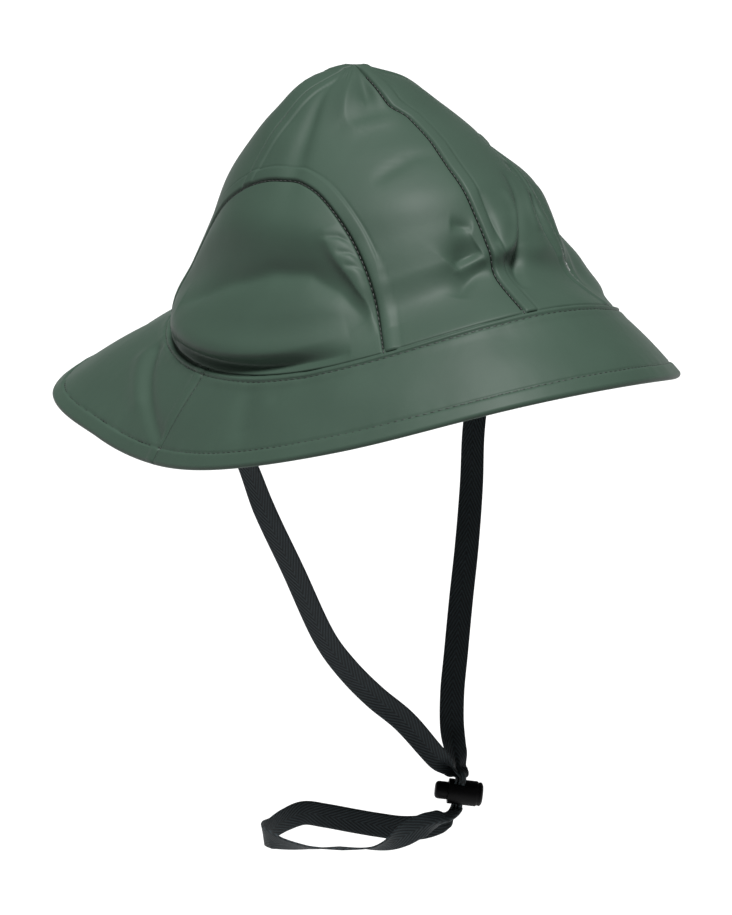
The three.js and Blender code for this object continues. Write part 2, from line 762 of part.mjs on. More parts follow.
// Section of the tape for a fold share, as offsets across its width and towards
// its face. The middle bends and the two halves stay straight.
function tapeSection(fold) {
  const half = TAPE_WIDTH / 2;
  const turn = rad(TAPE_FULL_FOLD * fold) / 2;
  const cuts = [-half, -TAPE_FOLD_ARC, -TAPE_FOLD_ARC / 2, 0, TAPE_FOLD_ARC / 2, TAPE_FOLD_ARC, half];
  const line = cuts.map((s) => {
    const inside = clamp(s, -TAPE_FOLD_ARC, TAPE_FOLD_ARC);
    const beyond = s - inside;
    const bend = turn * (inside / TAPE_FOLD_ARC);
    const radius = turn > 1e-4 ? TAPE_FOLD_ARC / turn : 0;
    const u = turn > 1e-4 ? radius * Math.sin(bend) : inside;
    const v = turn > 1e-4 ? radius * (1 - Math.cos(bend)) : 0;
    return {
      u: u + beyond * Math.cos(bend),
      v: v + beyond * Math.sin(bend),
      nu: -Math.sin(bend),
      nv: Math.cos(bend),
    };
  });
  const middle = line[0].v / 2;
  const t = TAPE_THICKNESS / 2;
  const front = line.map((p) => [p.u + p.nu * t, p.v + p.nv * t - middle]);
  const back = line.map((p) => [p.u - p.nu * t, p.v - p.nv * t - middle]);
  return [...front, ...back.reverse()];
}

const STRAP_SECTIONS = 128;

function chinStrap() {
  const stations = strapStations();
  const path = new THREE.CatmullRomCurve3(stations.map((s) => s.point), false, "centripetal");
  const last = stations.length - 1;
  const sections = [];
  for (let i = 0; i <= STRAP_SECTIONS; i += 1) {
    const t = i / STRAP_SECTIONS;
    const k = Math.min(Math.floor(t * last), last - 1);
    const mix = t * last - k;
    const ease = mix * mix * (3 - 2 * mix);
    const point = path.getPoint(t);
    const along = path.getTangent(t);
    const face = stations[k].face.clone().lerp(stations[k + 1].face, mix);
    face.addScaledVector(along, -face.dot(along)).normalize();
    const width = new THREE.Vector3().crossVectors(along, face).normalize();
    const fold = stations[k].fold + (stations[k + 1].fold - stations[k].fold) * ease;
    sections.push(tapeSection(fold).map(([u, v]) => (
      point.clone().addScaledVector(width, u).addScaledVector(face, v))));
  }
  return sweptSolid(sections, tapeSection(0));
}

const hat = new THREE.Group();
hat.name = "sou_wester";

function add(name, geometry, color, roughness) {
  const material = new THREE.MeshStandardMaterial({ color, roughness, metalness: 0 });
  const mesh = new THREE.Mesh(geometry, material);
  mesh.name = name;
  hat.add(mesh);
}

add("gore_front_right", gore(-1, true), CLOTH_GREEN, 0.45);
add("gore_front_left", gore(1, true), CLOTH_GREEN, 0.45);
add("gore_back_right", gore(-1, false), CLOTH_GREEN, 0.45);
add("gore_back_left", gore(1, false), CLOTH_GREEN, 0.45);
add("side_panel_right", sidePanel(-1), CLOTH_GREEN, 0.45);
add("side_panel_left", sidePanel(1), CLOTH_GREEN, 0.45);
add("brim_front", brimPiece(-90, 90), CLOTH_GREEN, 0.45);
add("brim_back", brimPiece(90, 270), CLOTH_GREEN, 0.45);
add("chin_strap", chinStrap(), TAPE_BLACK, 0.9);
add("lock_barrel", lockBarrel(), LOCK_BLACK, 0.4);
add("lock_button", lockButton(), LOCK_BLACK, 0.4);

export default hat;
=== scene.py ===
import math

import bmesh
import bpy
import numpy as np
from bpy.props import FloatProperty, FloatVectorProperty, IntProperty, PointerProperty
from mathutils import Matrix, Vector

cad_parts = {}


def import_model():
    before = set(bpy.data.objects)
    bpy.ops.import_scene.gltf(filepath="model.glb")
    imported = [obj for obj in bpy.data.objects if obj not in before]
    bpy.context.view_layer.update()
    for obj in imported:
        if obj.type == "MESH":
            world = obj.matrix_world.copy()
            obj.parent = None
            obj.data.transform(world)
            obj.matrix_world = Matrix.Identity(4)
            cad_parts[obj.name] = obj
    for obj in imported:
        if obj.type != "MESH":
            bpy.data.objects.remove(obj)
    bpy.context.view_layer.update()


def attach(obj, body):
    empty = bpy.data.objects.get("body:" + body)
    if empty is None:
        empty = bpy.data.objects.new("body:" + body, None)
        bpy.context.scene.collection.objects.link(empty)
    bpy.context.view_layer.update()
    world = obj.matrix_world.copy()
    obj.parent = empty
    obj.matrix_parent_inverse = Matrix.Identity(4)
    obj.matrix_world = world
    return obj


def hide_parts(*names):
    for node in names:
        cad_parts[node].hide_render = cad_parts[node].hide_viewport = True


bl_info = {
    "name": "Sou'wester Hat",
    "version": (1, 0, 0),
    "blender": (4, 5, 0),
    "location": "View3D > Sidebar > Sou'wester",
    "description": "Dresses a waterproof rain hat with sewn panels, seams, webbing and a cord lock",
    "category": "Add Mesh",
}

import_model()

# Lengths in the tables and formulas are millimetres in the hat's frame: +Z is up,
# the front faces -Y, +X is the wearer's left, and angles run from the front
# towards the wearer's left. They become metres when a mesh is made.
MM = 0.001
# Sign of the angles on each side of the hat
SIDES = ((-1, "right"), (1, "left"))

HEAD_HALF_WIDTH = 87.5
HEAD_HALF_LENGTH = 103.5
FRONT_LIFT = 19.5
EAR_DIP = 9.0
BROW_LIFT = 2.0
CROWN_HEIGHT = 99.9
CROWN_SET_BACK = 28.5
SET_BACK_BOW = 0.43

# Columns: height share, plain radius, wider over the ears, longer to the front
CROWN_PROFILE = np.array([
    [0.00, 1.000, 0.000, 0.000],
    [0.12, 0.905, 0.065, -0.045],
    [0.25, 0.832, 0.042, 0.012],
    [0.40, 0.748, 0.031, 0.056],
    [0.55, 0.664, 0.023, 0.076],
    [0.70, 0.515, 0.055, 0.062],
    [0.82, 0.361, 0.125, 0.012],
    [0.92, 0.234, 0.085, 0.000],
    [0.98, 0.066, 0.010, 0.000],
    [1.00, 0.000, 0.000, 0.000],
])

# Columns: height share, angle of the centre seam
CENTRE_SEAM = np.array([
    [0.00, -1.5],
    [0.20, 0.0],
    [0.60, 0.0],
    [0.80, 4.0],
    [0.86, -6.0],
    [1.00, -10.0],
])
SIDE_SEAM = 95.0

ARCH_CENTRE = 74.0
ARCH_TOP = 0.652
ARCH_FOOT = 0.120
# Columns: spread in degrees, fullness, shoulder
ARCH_FRONT = (36.0, 3.0, 2.1)
ARCH_BACK = (50.0, 1.9, 1.8)

# Columns: share of the arch height, push of the pillow in millimetres
PANEL_PILLOW = np.array([
    [0.00, 0.0],
    [0.13, 3.8],
    [0.30, 3.0],
    [0.52, -0.8],
    [0.80, 2.8],
    [1.00, 0.0],
])

# Soft dents and swells of the crown. Columns: angle, height share, reach along in
# millimetres, reach across, lean from the horizontal, push outwards
CROWN_FOLDS = np.array([
    [-69, 0.77, 18, 7, 105, -2.4],
    [-25, 0.87, 15, 8, 5, -2.6],
    [-8, 0.24, 13, 7, 60, -1.6],
    [-22, 0.14, 24, 8, 0, 1.8],
    [18, 0.26, 32, 6, 48, -1.6],
    [8, 0.31, 22, 5, 56, 1.0],
    [58, 0.64, 14, 6, 5, -2.6],
    [46, 0.20, 20, 8, 70, -1.6],
    [138, 0.45, 24, 9, 70, -2.0],
    [-150, 0.40, 26, 10, 100, -2.2],
])
PUSH_RAMP = 0.12
FOLD_MM_PER_DEGREE = 1.45
FOLD_MM_PER_HEIGHT = 110.0

# Sharp creases of the cloth: push outwards, width on the left of the line and on
# its right in millimetres, then the line's points as angle and height share
CREASES = (
    ("panel shoulder", 2.2, 7.0, 2.6,
     ((-51, .50), (-50, .45), (-48, .39), (-44, .30), (-40, .17), (-38, .06))),
    ("panel valley", -2.8, 5.0, 4.6,
     ((-110, .16), (-89, .29), (-70, .345), (-57, .33), (-47, .24), (-41, .11))),
    ("panel tuck", -3.4, 3.0, 2.6, ((-110, .03), (-96, .03), (-80, .03), (-64, .03), (-46, .03))),
    ("panel lip", 1.6, 7.0, 3.2, ((-112, .09), (-96, .085), (-80, .08), (-64, .08), (-46, .09))),
    ("pucker a", -0.9, 1.8, 0.9, ((-52, .465), (-46, .45), (-41, .41))),
    ("pucker b", -0.8, 1.4, 0.8, ((-47, .395), (-43, .38), (-40, .35))),
    ("pucker c", -0.7, 1.4, 0.8, ((-45, .34), (-42, .325), (-39, .295))),
    ("peak ridge", 1.3, 2.4, 4.0, ((-30, .985), (-44, .948), (-46, .903), (-46, .853), (-43, .82))),
    ("peak fold", 1.2, 2.4, 4.0,
     ((-45, .828), (-39, .807), (-32, .805), (-18, .807), (-8, .811), (2, .832))),
    ("peak dent", -1.6, 3.4, 3.4, ((-24, .955), (-24, .92), (-27, .88))),
    ("gore valley", -1.1, 3.4, 2.6, ((0, .678), (-13, .682), (-26, .651), (-33, .62))),
    ("pocket top", -1.6, 2.6, 2.6, ((-10, .40), (-6, .38), (-3, .36))),
    ("seam pocket", -3.0, 6.5, 2.4, ((-13, .20), (-11, .219), (-7, .235), (-3, .255))),
    ("seam ridge", 1.2, 2.4, 2.8, ((-14, .17), (-9, .19), (-4, .205), (3, .213))),
    ("gore ridge", 2.0, 2.2, 3.2, ((4, .22), (10, .262), (14, .32), (18, .41), (18, .50))),
    ("band shadow", -1.4, 2.0, 1.6, ((6, .52), (6, .42), (5, .34), (4, .27))),
    ("pocket foot", -1.5, 3.0, 3.6, ((-2, .16), (-8, .135), (-12, .11), (-15, .08))),
    ("right valley", -3.0, 2.4, 3.0,
     ((28, .58), (26, .47), (23, .41), (16, .30), (12, .17), (6, .06))),
    ("right ridge", 1.8, 3.4, 2.2, ((34, .57), (32, .47), (29, .40), (27, .31))),
    ("far valley", -2.2, 2.4, 2.8, ((37, .47), (34, .37), (33, .31), (34, .20))),
    ("far notch", -1.6, 2.2, 2.2, ((41, .60), (38, .55), (36, .50))),
    ("back fold", -1.6, 5.0, 6.0, ((150, .50), (140, .34), (136, .20), (140, .08))),
    ("back swell", 1.2, 5.0, 5.0, ((-160, .55), (-152, .38), (-150, .20))),
    ("left tuck", -1.8, 4.0, 5.0, ((50, .03), (66, .02), (84, .02), (98, .03))),
    ("left shoulder", 1.2, 3.0, 8.0, ((56, .50), (52, .40), (46, .26), (40, .08))),
)

# Columns: angle, reach of the brim, its fall in degrees
BRIM = np.array([
    [0.0, 42.2, 33.8],
    [45.0, 40.0, 46.6],
    [90.0, 44.4, 54.0],
    [112.0, 50.7, 46.9],
    [138.0, 69.8, 35.0],
    [160.0, 79.9, 34.1],
    [180.0, 84.1, 30.6],
])
BRIM_CAMBER = 1.2
# Columns: angle, spread, lift of the edge
BRIM_WAVES = np.array([
    [-103.0, 12.0, -1.8],
    [-62.0, 22.0, 2.1],
    [-20.0, 20.0, 2.3],
    [60.0, 18.0, 1.8],
    [150.0, 20.0, 1.6],
    [-165.0, 22.0, -0.5],
])
BRIM_JOINS = (-90.0, 90.0)
# Soft folds of the brim. Columns: angle and distance from the seam at one end,
# the same at the other end, width, push upwards
BRIM_FOLDS = (
    (-119.0, 9.0, -93.0, 33.0, 3.4, -1.5),
    (-121.0, 16.0, -107.0, 26.0, 4.5, 0.9),
    (-71.0, 9.0, -68.0, 24.0, 5.0, -0.9),
    (-62.0, 10.0, -57.0, 4.0, 4.0, -0.6),
    (-46.0, 15.0, -33.0, 23.0, 9.0, 0.7),
    (-8.0, 10.0, 10.0, 22.0, 9.0, -0.8),
    (128.0, 14.0, 112.0, 34.0, 5.0, -1.2),
    (168.0, 20.0, 160.0, 55.0, 9.0, 0.9),
    (-150.0, 16.0, -158.0, 56.0, 8.0, -1.0),
)

# Chin strap. Columns: x, y, z, turn, lift and fold of the tape
RIGHT_RUN = (
    (-80.5, -1.0, -32.0, -85, 0, 0),
    (-75.2, -9.6, -49.0, -68, 5, 0),
    (-71.0, -16.5, -68.0, -56, 8, 0),
    (-62.3, -24.4, -94.0, -54, 8, 0),
    (-50.8, -31.6, -126.0, -50, 10, 0),
    (-42.4, -35.0, -140.0, -42, 12, 0),
    (-31.4, -38.6, -153.8, -34, 16, 0.04),
    (-19.4, -43.4, -166.4, -32, 20, 0.10),
    (-7.4, -50.0, -183.5, -32, 16, 0.24),
    (-1.8, -51.9, -189.8, -32, 6, 0.70),
)
LOOP = (
    (-3.0, -54.6, -209.2, -32, 8, 0.86),
    (-5.0, -53.0, -212.0, -32, 14, 0.42),
    (-8.0, -50.4, -214.6, -32, 18, 0.08),
    (-12.5, -47.0, -216.7, -32, 21, 0),
    (-18.7, -40.8, -218.2, -32, 22, 0),
    (-26.3, -33.5, -217.9, -32, 22, 0),
    (-34.9, -26.4, -216.6, -32, 22, 0),
    (-44.6, -20.0, -214.4, -32, 20, 0),
    (-53.4, -17.3, -212.0, -30, 16, 0),
    (-63.6, -18.6, -212.0, -8, 8, 0),
    (-72.9, -22.0, -212.5, 30, 4, 0),
    (-78.9, -27.0, -210.8, 75, 4, 0),
    (-80.1, -34.0, -209.8, 118, 14, 0),
    (-76.0, -40.0, -210.6, 136, 38, 0),
    (-68.0, -46.1, -211.7, 146, 58, 0),
    (-56.2, -52.4, -212.5, 148, 68, 0),
    (-44.9, -56.6, -213.5, 148, 60, 0),
    (-35.7, -57.7, -213.2, 148, 26, 0.02),
    (-27.4, -58.0, -211.2, 148, -4, 0.06),
    (-19.8, -58.2, -209.4, 148, -8, 0.14),
    (-12.9, -58.6, -208.4, 148, -4, 0.50),
    (-6.8, -58.8, -208.4, 148, -2, 0.90),
)
LEFT_RUN = (
    (3.2, -51.7, -190.8, 148, 0, 0.75),
    (4.7, -46.1, -185.0, 148, 0, 0.30),
    (7.1, -39.6, -177.4, 148, 0, 0.06),
    (11.5, -32.7, -164.7, 146, 0, 0),
    (17.5, -25.9, -151.5, 145, 0, 0),
    (26.6, -15.6, -131.8, 144, 0, 0),
    (36.0, -5.4, -111.6, 140, 0, 0),
    (45.6, 6.2, -90.0, 134, 0, 0),
    (54.0, 17.6, -69.0, 128, 0, 0),
    (63.6, 26.8, -49.0, 122, 0, 0),
    (72.6, 32.6, -30.0, 116, 0, 0),
)
# Where the tape's ends are sewn inside the crown: angle, heights over the seam, and
# how far inside the outer face
RIGHT_ANCHOR = -99.0
LEFT_ANCHOR = 111.0
ANCHOR_RISES = (16.0, 9.0, 3.0, -4.0)
ANCHOR_BACK = 3.45
# Half the distance between the two passes through the lock, and their stations
STRAP_PITCH = 1.2
LOCK_PASS = (-7.5, -4.0, 0.0, 4.0, 7.0)
# The tape folds round this much of its half width, by this angle when it is full
TAPE_FOLD_ARC = 1.0
TAPE_FULL_FOLD = 176.0
PLACES_PER_SPAN = 14

# Cord lock. Its ends are measured along the barrel from the middle of the window
LOCK_CENTRE = (0.2, -55.8, -199.5)
LOCK_TURN = 58.0
LOCK_TILT = -7.0
WINDOW_LONG = 5.3
WINDOW_ACROSS = 6.0
BUTTON_TRAVEL = 2.2
BARREL_MOUTH = -4.6
BARREL_END = 10.2
BUTTON_END = -10.2
BUTTON_INNER = 6.4
BUTTON_CLEARANCE = 0.3


# Sizes and colours that a user would change


def size_mm(name, description, default, low, high):
    """A size in millimetres that stays between two limits."""
    return FloatProperty(
        name=name,
        description=description + " in millimetres",
        default=default,
        min=low,
        max=high,
    )


def shares(colour):
    """Shares of red, green and blue in an sRGB hex number."""
    return [(colour >> shift & 255) / 255 for shift in (16, 8, 0)]


def colour_srgb(name, description, colour):
    """A colour given as an sRGB hex number."""
    return FloatVectorProperty(
        name=name,
        description=description + " as sRGB",
        subtype="COLOR_GAMMA",
        size=3,
        min=0.0,
        max=1.0,
        default=shares(colour),
    )


class HatClothSettings(bpy.types.PropertyGroup):
    colour: colour_srgb("Cloth colour", "Colour of the coated cloth", 0x2D3C33)
    thickness: size_mm("Cloth thickness", "Thickness of the sewn cloth wall", 1.5, 0.6, 2.0)
    seam_width: size_mm(
        "Seam allowance", "Width of the felled allowance beside a seam", 6.0, 3.0, 9.0
    )
    seam_rise: size_mm("Seam rise", "How far the allowance lifts the cloth over it", 0.55, 0.0, 1.5)
    groove_depth: size_mm(
        "Seam groove", "Depth to which the cloth rolls into a seam", 1.0, 0.0, 2.0
    )
    columns: IntProperty(
        name="Columns",
        description="Columns of the grid of a crown panel",
        default=170,
        min=40,
        max=300,
    )
    rows: IntProperty(
        name="Rows",
        description="Rows of the grid of a crown panel",
        default=110,
        min=30,
        max=200,
    )


class HatBrimSettings(bpy.types.PropertyGroup):
    hem_width: size_mm(
        "Hem width", "Distance of the hem's stitch line from the edge", 7.2, 4.0, 12.0
    )
    hem_thickness: size_mm("Hem thickness", "Thickness of the rolled hem", 3.2, 2.0, 5.0)
    stitch_length: size_mm("Stitch length", "Length of one stitch", 3.0, 1.5, 5.0)
    thread: size_mm("Thread", "Diameter of the sewing thread", 0.5, 0.2, 0.8)
    thread_colour: colour_srgb("Thread colour", "Colour of the sewing thread", 0x080F0B)


class HatStrapSettings(bpy.types.PropertyGroup):
    width: size_mm("Tape width", "Width of the chin strap's tape", 10.4, 6.0, 15.0)
    thickness: size_mm("Tape thickness", "Thickness of the tape", 0.8, 0.4, 1.4)
    colour: colour_srgb("Tape colour", "Colour of the tape", 0x151A1C)


class HatLockSettings(bpy.types.PropertyGroup):
    diameter: size_mm(
        "Barrel diameter", "Outer diameter of the cord lock's barrel", 10.8, 8.0, 16.0
    )
    wall: size_mm("Barrel wall", "Wall of the barrel", 1.3, 0.8, 2.5)
    colour: colour_srgb("Lock colour", "Colour of the moulded plastic", 0x010102)


class HatStageSettings(bpy.types.PropertyGroup):
    azimuth: FloatProperty(
        name="Azimuth",
        description="Camera's turn round the hat, 0 in front of it, in degrees",
        default=-31.5,
    )
    elevation: FloatProperty(
        name="Elevation",
        description="Camera's height above the horizon in degrees",
        default=21.5,
    )
    distance: FloatProperty(
        name="Distance",
        description="From the camera to the point it looks at",
        default=1.5,
        unit="LENGTH",
    )
    floor: FloatProperty(
        name="Floor height",
        description="Height of the floor under the hanging strap",
        default=-0.62,
        unit="LENGTH",
    )


# Surfaces


def smooth_curve(x, y, flat_ends=False):
    """Returns a curve through points that never overshoots them.

    Each span is a cubic whose end slopes are the harmonic mean of the neighbouring
    chords, or zero where the chords turn round.
    """
    slope = np.diff(y) / np.diff(x)
    before, after = slope[:-1], slope[1:]
    same = before * after > 0
    total = np.where(same, before + after, 1.0)
    inner = np.where(same, 2 * before * after / total, 0.0)
    ends = (0.0, 0.0) if flat_ends else (slope[0], slope[-1])
    tangent = np.concatenate(([ends[0]], inner, [ends[1]]))

    def value(at):
        v = np.clip(np.asarray(at, float), x[0], x[-1])
        i = np.clip(np.searchsorted(x, v, side="left") - 1, 0, len(x) - 2)
        step = x[i + 1] - x[i]
        t = (v - x[i]) / step
        start = (1 + 2 * t) * (1 - t) ** 2 * y[i] + t * (1 - t) ** 2 * step * tangent[i]
        end = t * t * (3 - 2 * t) * y[i + 1] + t * t * (t - 1) * step * tangent[i + 1]
        return start + end

    return value


radius_at = smooth_curve(CROWN_PROFILE[:, 0], CROWN_PROFILE[:, 1])
ears_at = smooth_curve(CROWN_PROFILE[:, 0], CROWN_PROFILE[:, 2])
front_at = smooth_curve(CROWN_PROFILE[:, 0], CROWN_PROFILE[:, 3])
centre_seam_at = smooth_curve(CENTRE_SEAM[:, 0], CENTRE_SEAM[:, 1])
pillow_at = smooth_curve(PANEL_PILLOW[:, 0], PANEL_PILLOW[:, 1])
reach_at = smooth_curve(BRIM[:, 0], BRIM[:, 1], flat_ends=True)
fall_at = smooth_curve(BRIM[:, 0], BRIM[:, 2], flat_ends=True)


def wrap(angle):
    """Turns angles into the range -180 to 180 degrees."""
    return (np.asarray(angle, float) + 180.0) % 360.0 - 180.0


def unit(vectors):
    """Scales vectors to length one."""
    length = np.linalg.norm(vectors, axis=-1, keepdims=True)
    return vectors / np.maximum(length, 1e-12)


def hill(distance, width, power=2):
    """Share that falls from one to nothing as exp(-(distance/width)^power)."""
    return np.exp(-((distance / width) ** power))


def past(value, place, softness):
    """Share that rises from zero to one where a value passes a place, a logistic step."""
    return 1 / (1 + np.exp((place - value) / softness))


def before(value, place, softness):
    """Share that drops from one to zero where a value passes a place."""
    return past(place, value, softness)


def run_along(path):
    """Length of the way along a polyline to each of its points."""
    step = np.linalg.norm(np.diff(path, axis=0), axis=1)
    return np.concatenate(([0.0], np.cumsum(step)))


def facing(turn, lift):
    """Unit direction of a turn round the hat and a lift above the horizon."""
    turn, lift = np.radians(turn), np.radians(lift)
    return np.stack(
        [np.sin(turn) * np.cos(lift), -np.cos(turn) * np.cos(lift), np.sin(lift) + 0 * turn],
        axis=-1,
    )


def seam_height(angle):
    """Height of the brim seam: it rises at the front and dips over the ears."""
    a = np.radians(angle)
    return FRONT_LIFT * np.cos(a) + EAR_DIP * np.cos(2 * a) + BROW_LIFT * np.cos(3 * a)


def seam_point(angle):
    """Point of the brim seam, an ellipse lifted by seam_height."""
    a = np.radians(angle)
    return np.stack(
        [HEAD_HALF_WIDTH * np.sin(a), -HEAD_HALF_LENGTH * np.cos(a), seam_height(angle)],
        axis=-1,
    )


def seam_outward(angle):
    """Level unit vector square to the brim seam's ellipse."""
    a = np.radians(angle)
    flat = [HEAD_HALF_LENGTH * np.sin(a), -HEAD_HALF_WIDTH * np.cos(a), 0 * a]
    return unit(np.stack(flat, axis=-1))


def arch_place(angle):
    """Share of the way from an arch's top to its end, with that half's shape."""
    around = np.abs(wrap(angle))
    front = around < ARCH_CENTRE
    spread, fullness, shoulder = (
        np.where(front, a, b) for a, b in zip(ARCH_FRONT, ARCH_BACK)
    )
    return np.abs(around - ARCH_CENTRE) / spread, fullness, shoulder


def arch_height(angle):
    """Height share of the arched seam, a superellipse on a straight foot."""
    share, fullness, shoulder = arch_place(angle)
    inside = np.clip(share, 0.0, 1.0)
    rise = (1 - inside ** fullness) ** (1 / shoulder)
    return np.where(share > 1, 0.0, ARCH_FOOT + (ARCH_TOP - ARCH_FOOT) * rise)


def crown_push(angle, height):
    """Push of dents and swells: each is a Gaussian hill on a leaning ellipse."""
    push = np.zeros(np.broadcast(angle, height).shape)
    for fold_angle, fold_height, along, across, lean, amount in CROWN_FOLDS:
        u = wrap(angle - fold_angle) * FOLD_MM_PER_DEGREE
        v = (height - fold_height) * FOLD_MM_PER_HEIGHT
        c, s = math.cos(math.radians(lean)), math.sin(math.radians(lean))
        a = (u * c + v * s) / along
        b = (v * c - u * s) / across
        push += amount * np.exp(-a * a - b * b)
    top = arch_height(angle)
    share = arch_place(angle)[0]
    ease = np.clip(top / ARCH_TOP, 0, 1) * np.clip(1 - share ** 4, 0, 1)
    inside = (top > 0) & (height < top)
    push += np.where(inside, pillow_at(height / np.maximum(top, 1e-6)) * ease, 0.0)
    ramp = np.clip(height / PUSH_RAMP, 0, 1)
    return push * ramp * (2 - ramp)


def crown_base(angle, height):
    """Outer surface of the crown.

    The brim seam's ellipse is scaled by the profile's share at each height, set
    back towards the top, raised from the seam's height to the crown's, and pushed
    level outwards by the folds.
    """
    a = np.radians(angle)
    stretch = front_at(height) * np.cos(a) - ears_at(height) * np.cos(2 * a)
    share = (radius_at(height) * (1 + stretch))[..., None]
    back = CROWN_SET_BACK * height * (1 + SET_BACK_BOW * (1 - height))
    point = seam_point(angle) * share
    point[..., 1] += back
    point[..., 2] = seam_height(angle) * (1 - height) + CROWN_HEIGHT * height
    return point + seam_outward(angle) * crown_push(angle, height)[..., None]


# Highest share at which the crown still has a direction upwards
NEAR_PEAK = 0.999


def crown_normal(angle, height):
    """Outward unit normal from small steps round and up the crown."""
    turn, climb = 0.4, 0.003
    low = np.maximum(0.0, height - climb)
    high = np.minimum(NEAR_PEAK, height + climb)
    across = crown_base(angle + turn, height) - crown_base(angle - turn, height)
    up = crown_base(angle, high) - crown_base(angle, low)
    return unit(np.cross(across, up))


def nearest_on_line(points, line):
    """Distance of points from a polyline, and the run along it to the nearest place.

    Each point is dropped square onto every span, kept within it, and the nearest
    of the feet is taken.
    """
    run, step = run_along(line), np.diff(line, axis=0)
    length = np.linalg.norm(step, axis=1)
    flat = points.reshape(-1, 3)
    best = np.full(len(flat), np.inf)
    where = np.zeros(len(flat))
    for k, start in enumerate(line[:-1]):
        t = np.clip((flat - start) @ step[k] / max(length[k] ** 2, 1e-12), 0, 1)
        d = np.linalg.norm(flat - start - t[:, None] * step[k], axis=1)
        closer = d < best
        best = np.where(closer, d, best)
        where = np.where(closer, run[k] + t * length[k], where)
    shape = points.shape[:-1]
    return best.reshape(shape), where.reshape(shape)


# Places along a crease, how far its push is looked for beside it in degrees, and
# the powers of its fall across and of its swell along
CREASE_PLACES = 24
CREASE_MARGIN = 32
CREASE_FALL = 1.5
CREASE_SWELL = 0.6


def crease_push(points, angle, height):
    """Push of the sharp creases.

    Across a crease the push falls off as exp(-(d/w)^1.5), with one width on each
    side, and along it the push swells from nothing at both ends.
    """
    push = np.zeros(points.shape[:-1])
    for _, amount, left, right, line in CREASES:
        table = np.array(line, float)
        mark = np.linspace(0, len(table) - 1, CREASE_PLACES)
        line_angle, line_height = (
            np.interp(mark, np.arange(len(table)), column) for column in table.T
        )
        near = np.abs(wrap(angle - line_angle.mean())) < np.ptp(line_angle) / 2 + CREASE_MARGIN
        if not near.any():
            continue
        path = crown_base(line_angle, line_height)
        distance, where = nearest_on_line(points, path)
        run = run_along(path)
        place = np.interp(where, run, mark)
        beside_angle = wrap(angle - np.interp(place, mark, line_angle))
        above = height - np.interp(place, mark, line_height)
        ahead_angle, ahead_height = (
            np.interp(place + 0.2, mark, column) - np.interp(place - 0.2, mark, column)
            for column in (line_angle, line_height)
        )
        width = np.where(ahead_angle * above > ahead_height * beside_angle, left, right)
        along = np.sin(np.pi * np.clip(where / run[-1], 0.0, 1.0)) ** CREASE_SWELL
        push += np.where(near, amount * along * hill(distance, width, CREASE_FALL), 0.0)
    return push


def crowd(v, sharpness=1.9):
    """Turns values from -1 to 1 into shares that crowd towards both ends, by a tanh."""
    return 0.5 * (1 + np.tanh(sharpness * v) / math.tanh(sharpness))


def steps(count, sharpness=1.9):
    """Places from 0 to 1 that crowd towards both ends."""
    return crowd(np.linspace(-1, 1, count + 1), sharpness)


def steps_from_start(count, sharpness=1.7):
    """Places from 0 to 1 that crowd towards the start only."""
    v = np.linspace(0, 1, count + 1)
    return 1 + np.tanh(sharpness * (v - 1)) / math.tanh(sharpness)


def centre_angle(front, height):
    """Angle of the centre seam at the front or the back."""
    return (0.0 if front else 180.0) + centre_seam_at(height)


def arch_ends(side):
    """Angles of an arch's front and back foot."""
    return side * (ARCH_CENTRE - ARCH_FRONT[0]), side * (ARCH_CENTRE + ARCH_BACK[0])


def arch_path(side, count, foot_count):
    """Angles and heights along an arch, up its front foot, over and down its back."""
    front, back = arch_ends(side)
    foot = np.linspace(0, ARCH_FOOT, foot_count, endpoint=False)
    turn = 0.5 - 0.5 * np.cos(np.linspace(0, np.pi, count))
    angle = front + (back - front) * turn
    height = arch_height(np.clip(np.abs(angle), abs(front), abs(back)) * side)
    height[[0, -1]] = ARCH_FOOT
    return (
        np.concatenate([np.full(foot_count, front), angle, np.full(foot_count, back)]),
        np.concatenate([foot, height, foot[::-1]]),
    )


# Places along the seams of the crown
CENTRE_PLACES = 120
SIDE_PLACES = 60
ARCH_PLACES = 220
FOOT_PLACES = 11


def seam_places():
    """Angles and heights along each seam of the crown."""
    height = np.linspace(0, NEAR_PEAK, CENTRE_PLACES)
    places = {
        "centre_front": (centre_angle(True, height), height),
        "centre_back": (centre_angle(False, height), height),
    }
    for side, name in SIDES:
        top = arch_height(np.array(SIDE_SEAM * side))
        above = top + (NEAR_PEAK - top) * np.linspace(0, 1, SIDE_PLACES)
        places["side_" + name] = (np.full(SIDE_PLACES, SIDE_SEAM * side), above)
        places["arch_" + name] = arch_path(side, ARCH_PLACES, FOOT_PLACES)
    return places


def seam_lines():
    """The crown's seams and the brim seam as polylines."""
    lines = {name: crown_base(*at) for name, at in seam_places().items()}
    lines["brim"] = seam_point(np.linspace(-180, 180, 361))
    return lines


# A seam's narrow groove and the shallow dish round it, in half widths and share
GROOVE_WIDTH = 0.45
DISH_WIDTH = 1.3
DISH_SHARE = 0.15
# Where the allowance starts beside its seam, and the dip at its far edge
ALLOWANCE_START = 0.9
EDGE_DIP = 0.22
EDGE_DIP_WIDTH = 0.6
# Puckers beside a seam: their height, the lengths of their two waves and of the slow
# wave that gathers them (each over two pi), and where they begin and die away
PUCKER_HEIGHT = 0.11
PUCKER_WAVES = (2.9, 4.7)
PUCKER_GATHER = 23.0
PUCKER_START = 1.2
PUCKER_REACH = 5.0


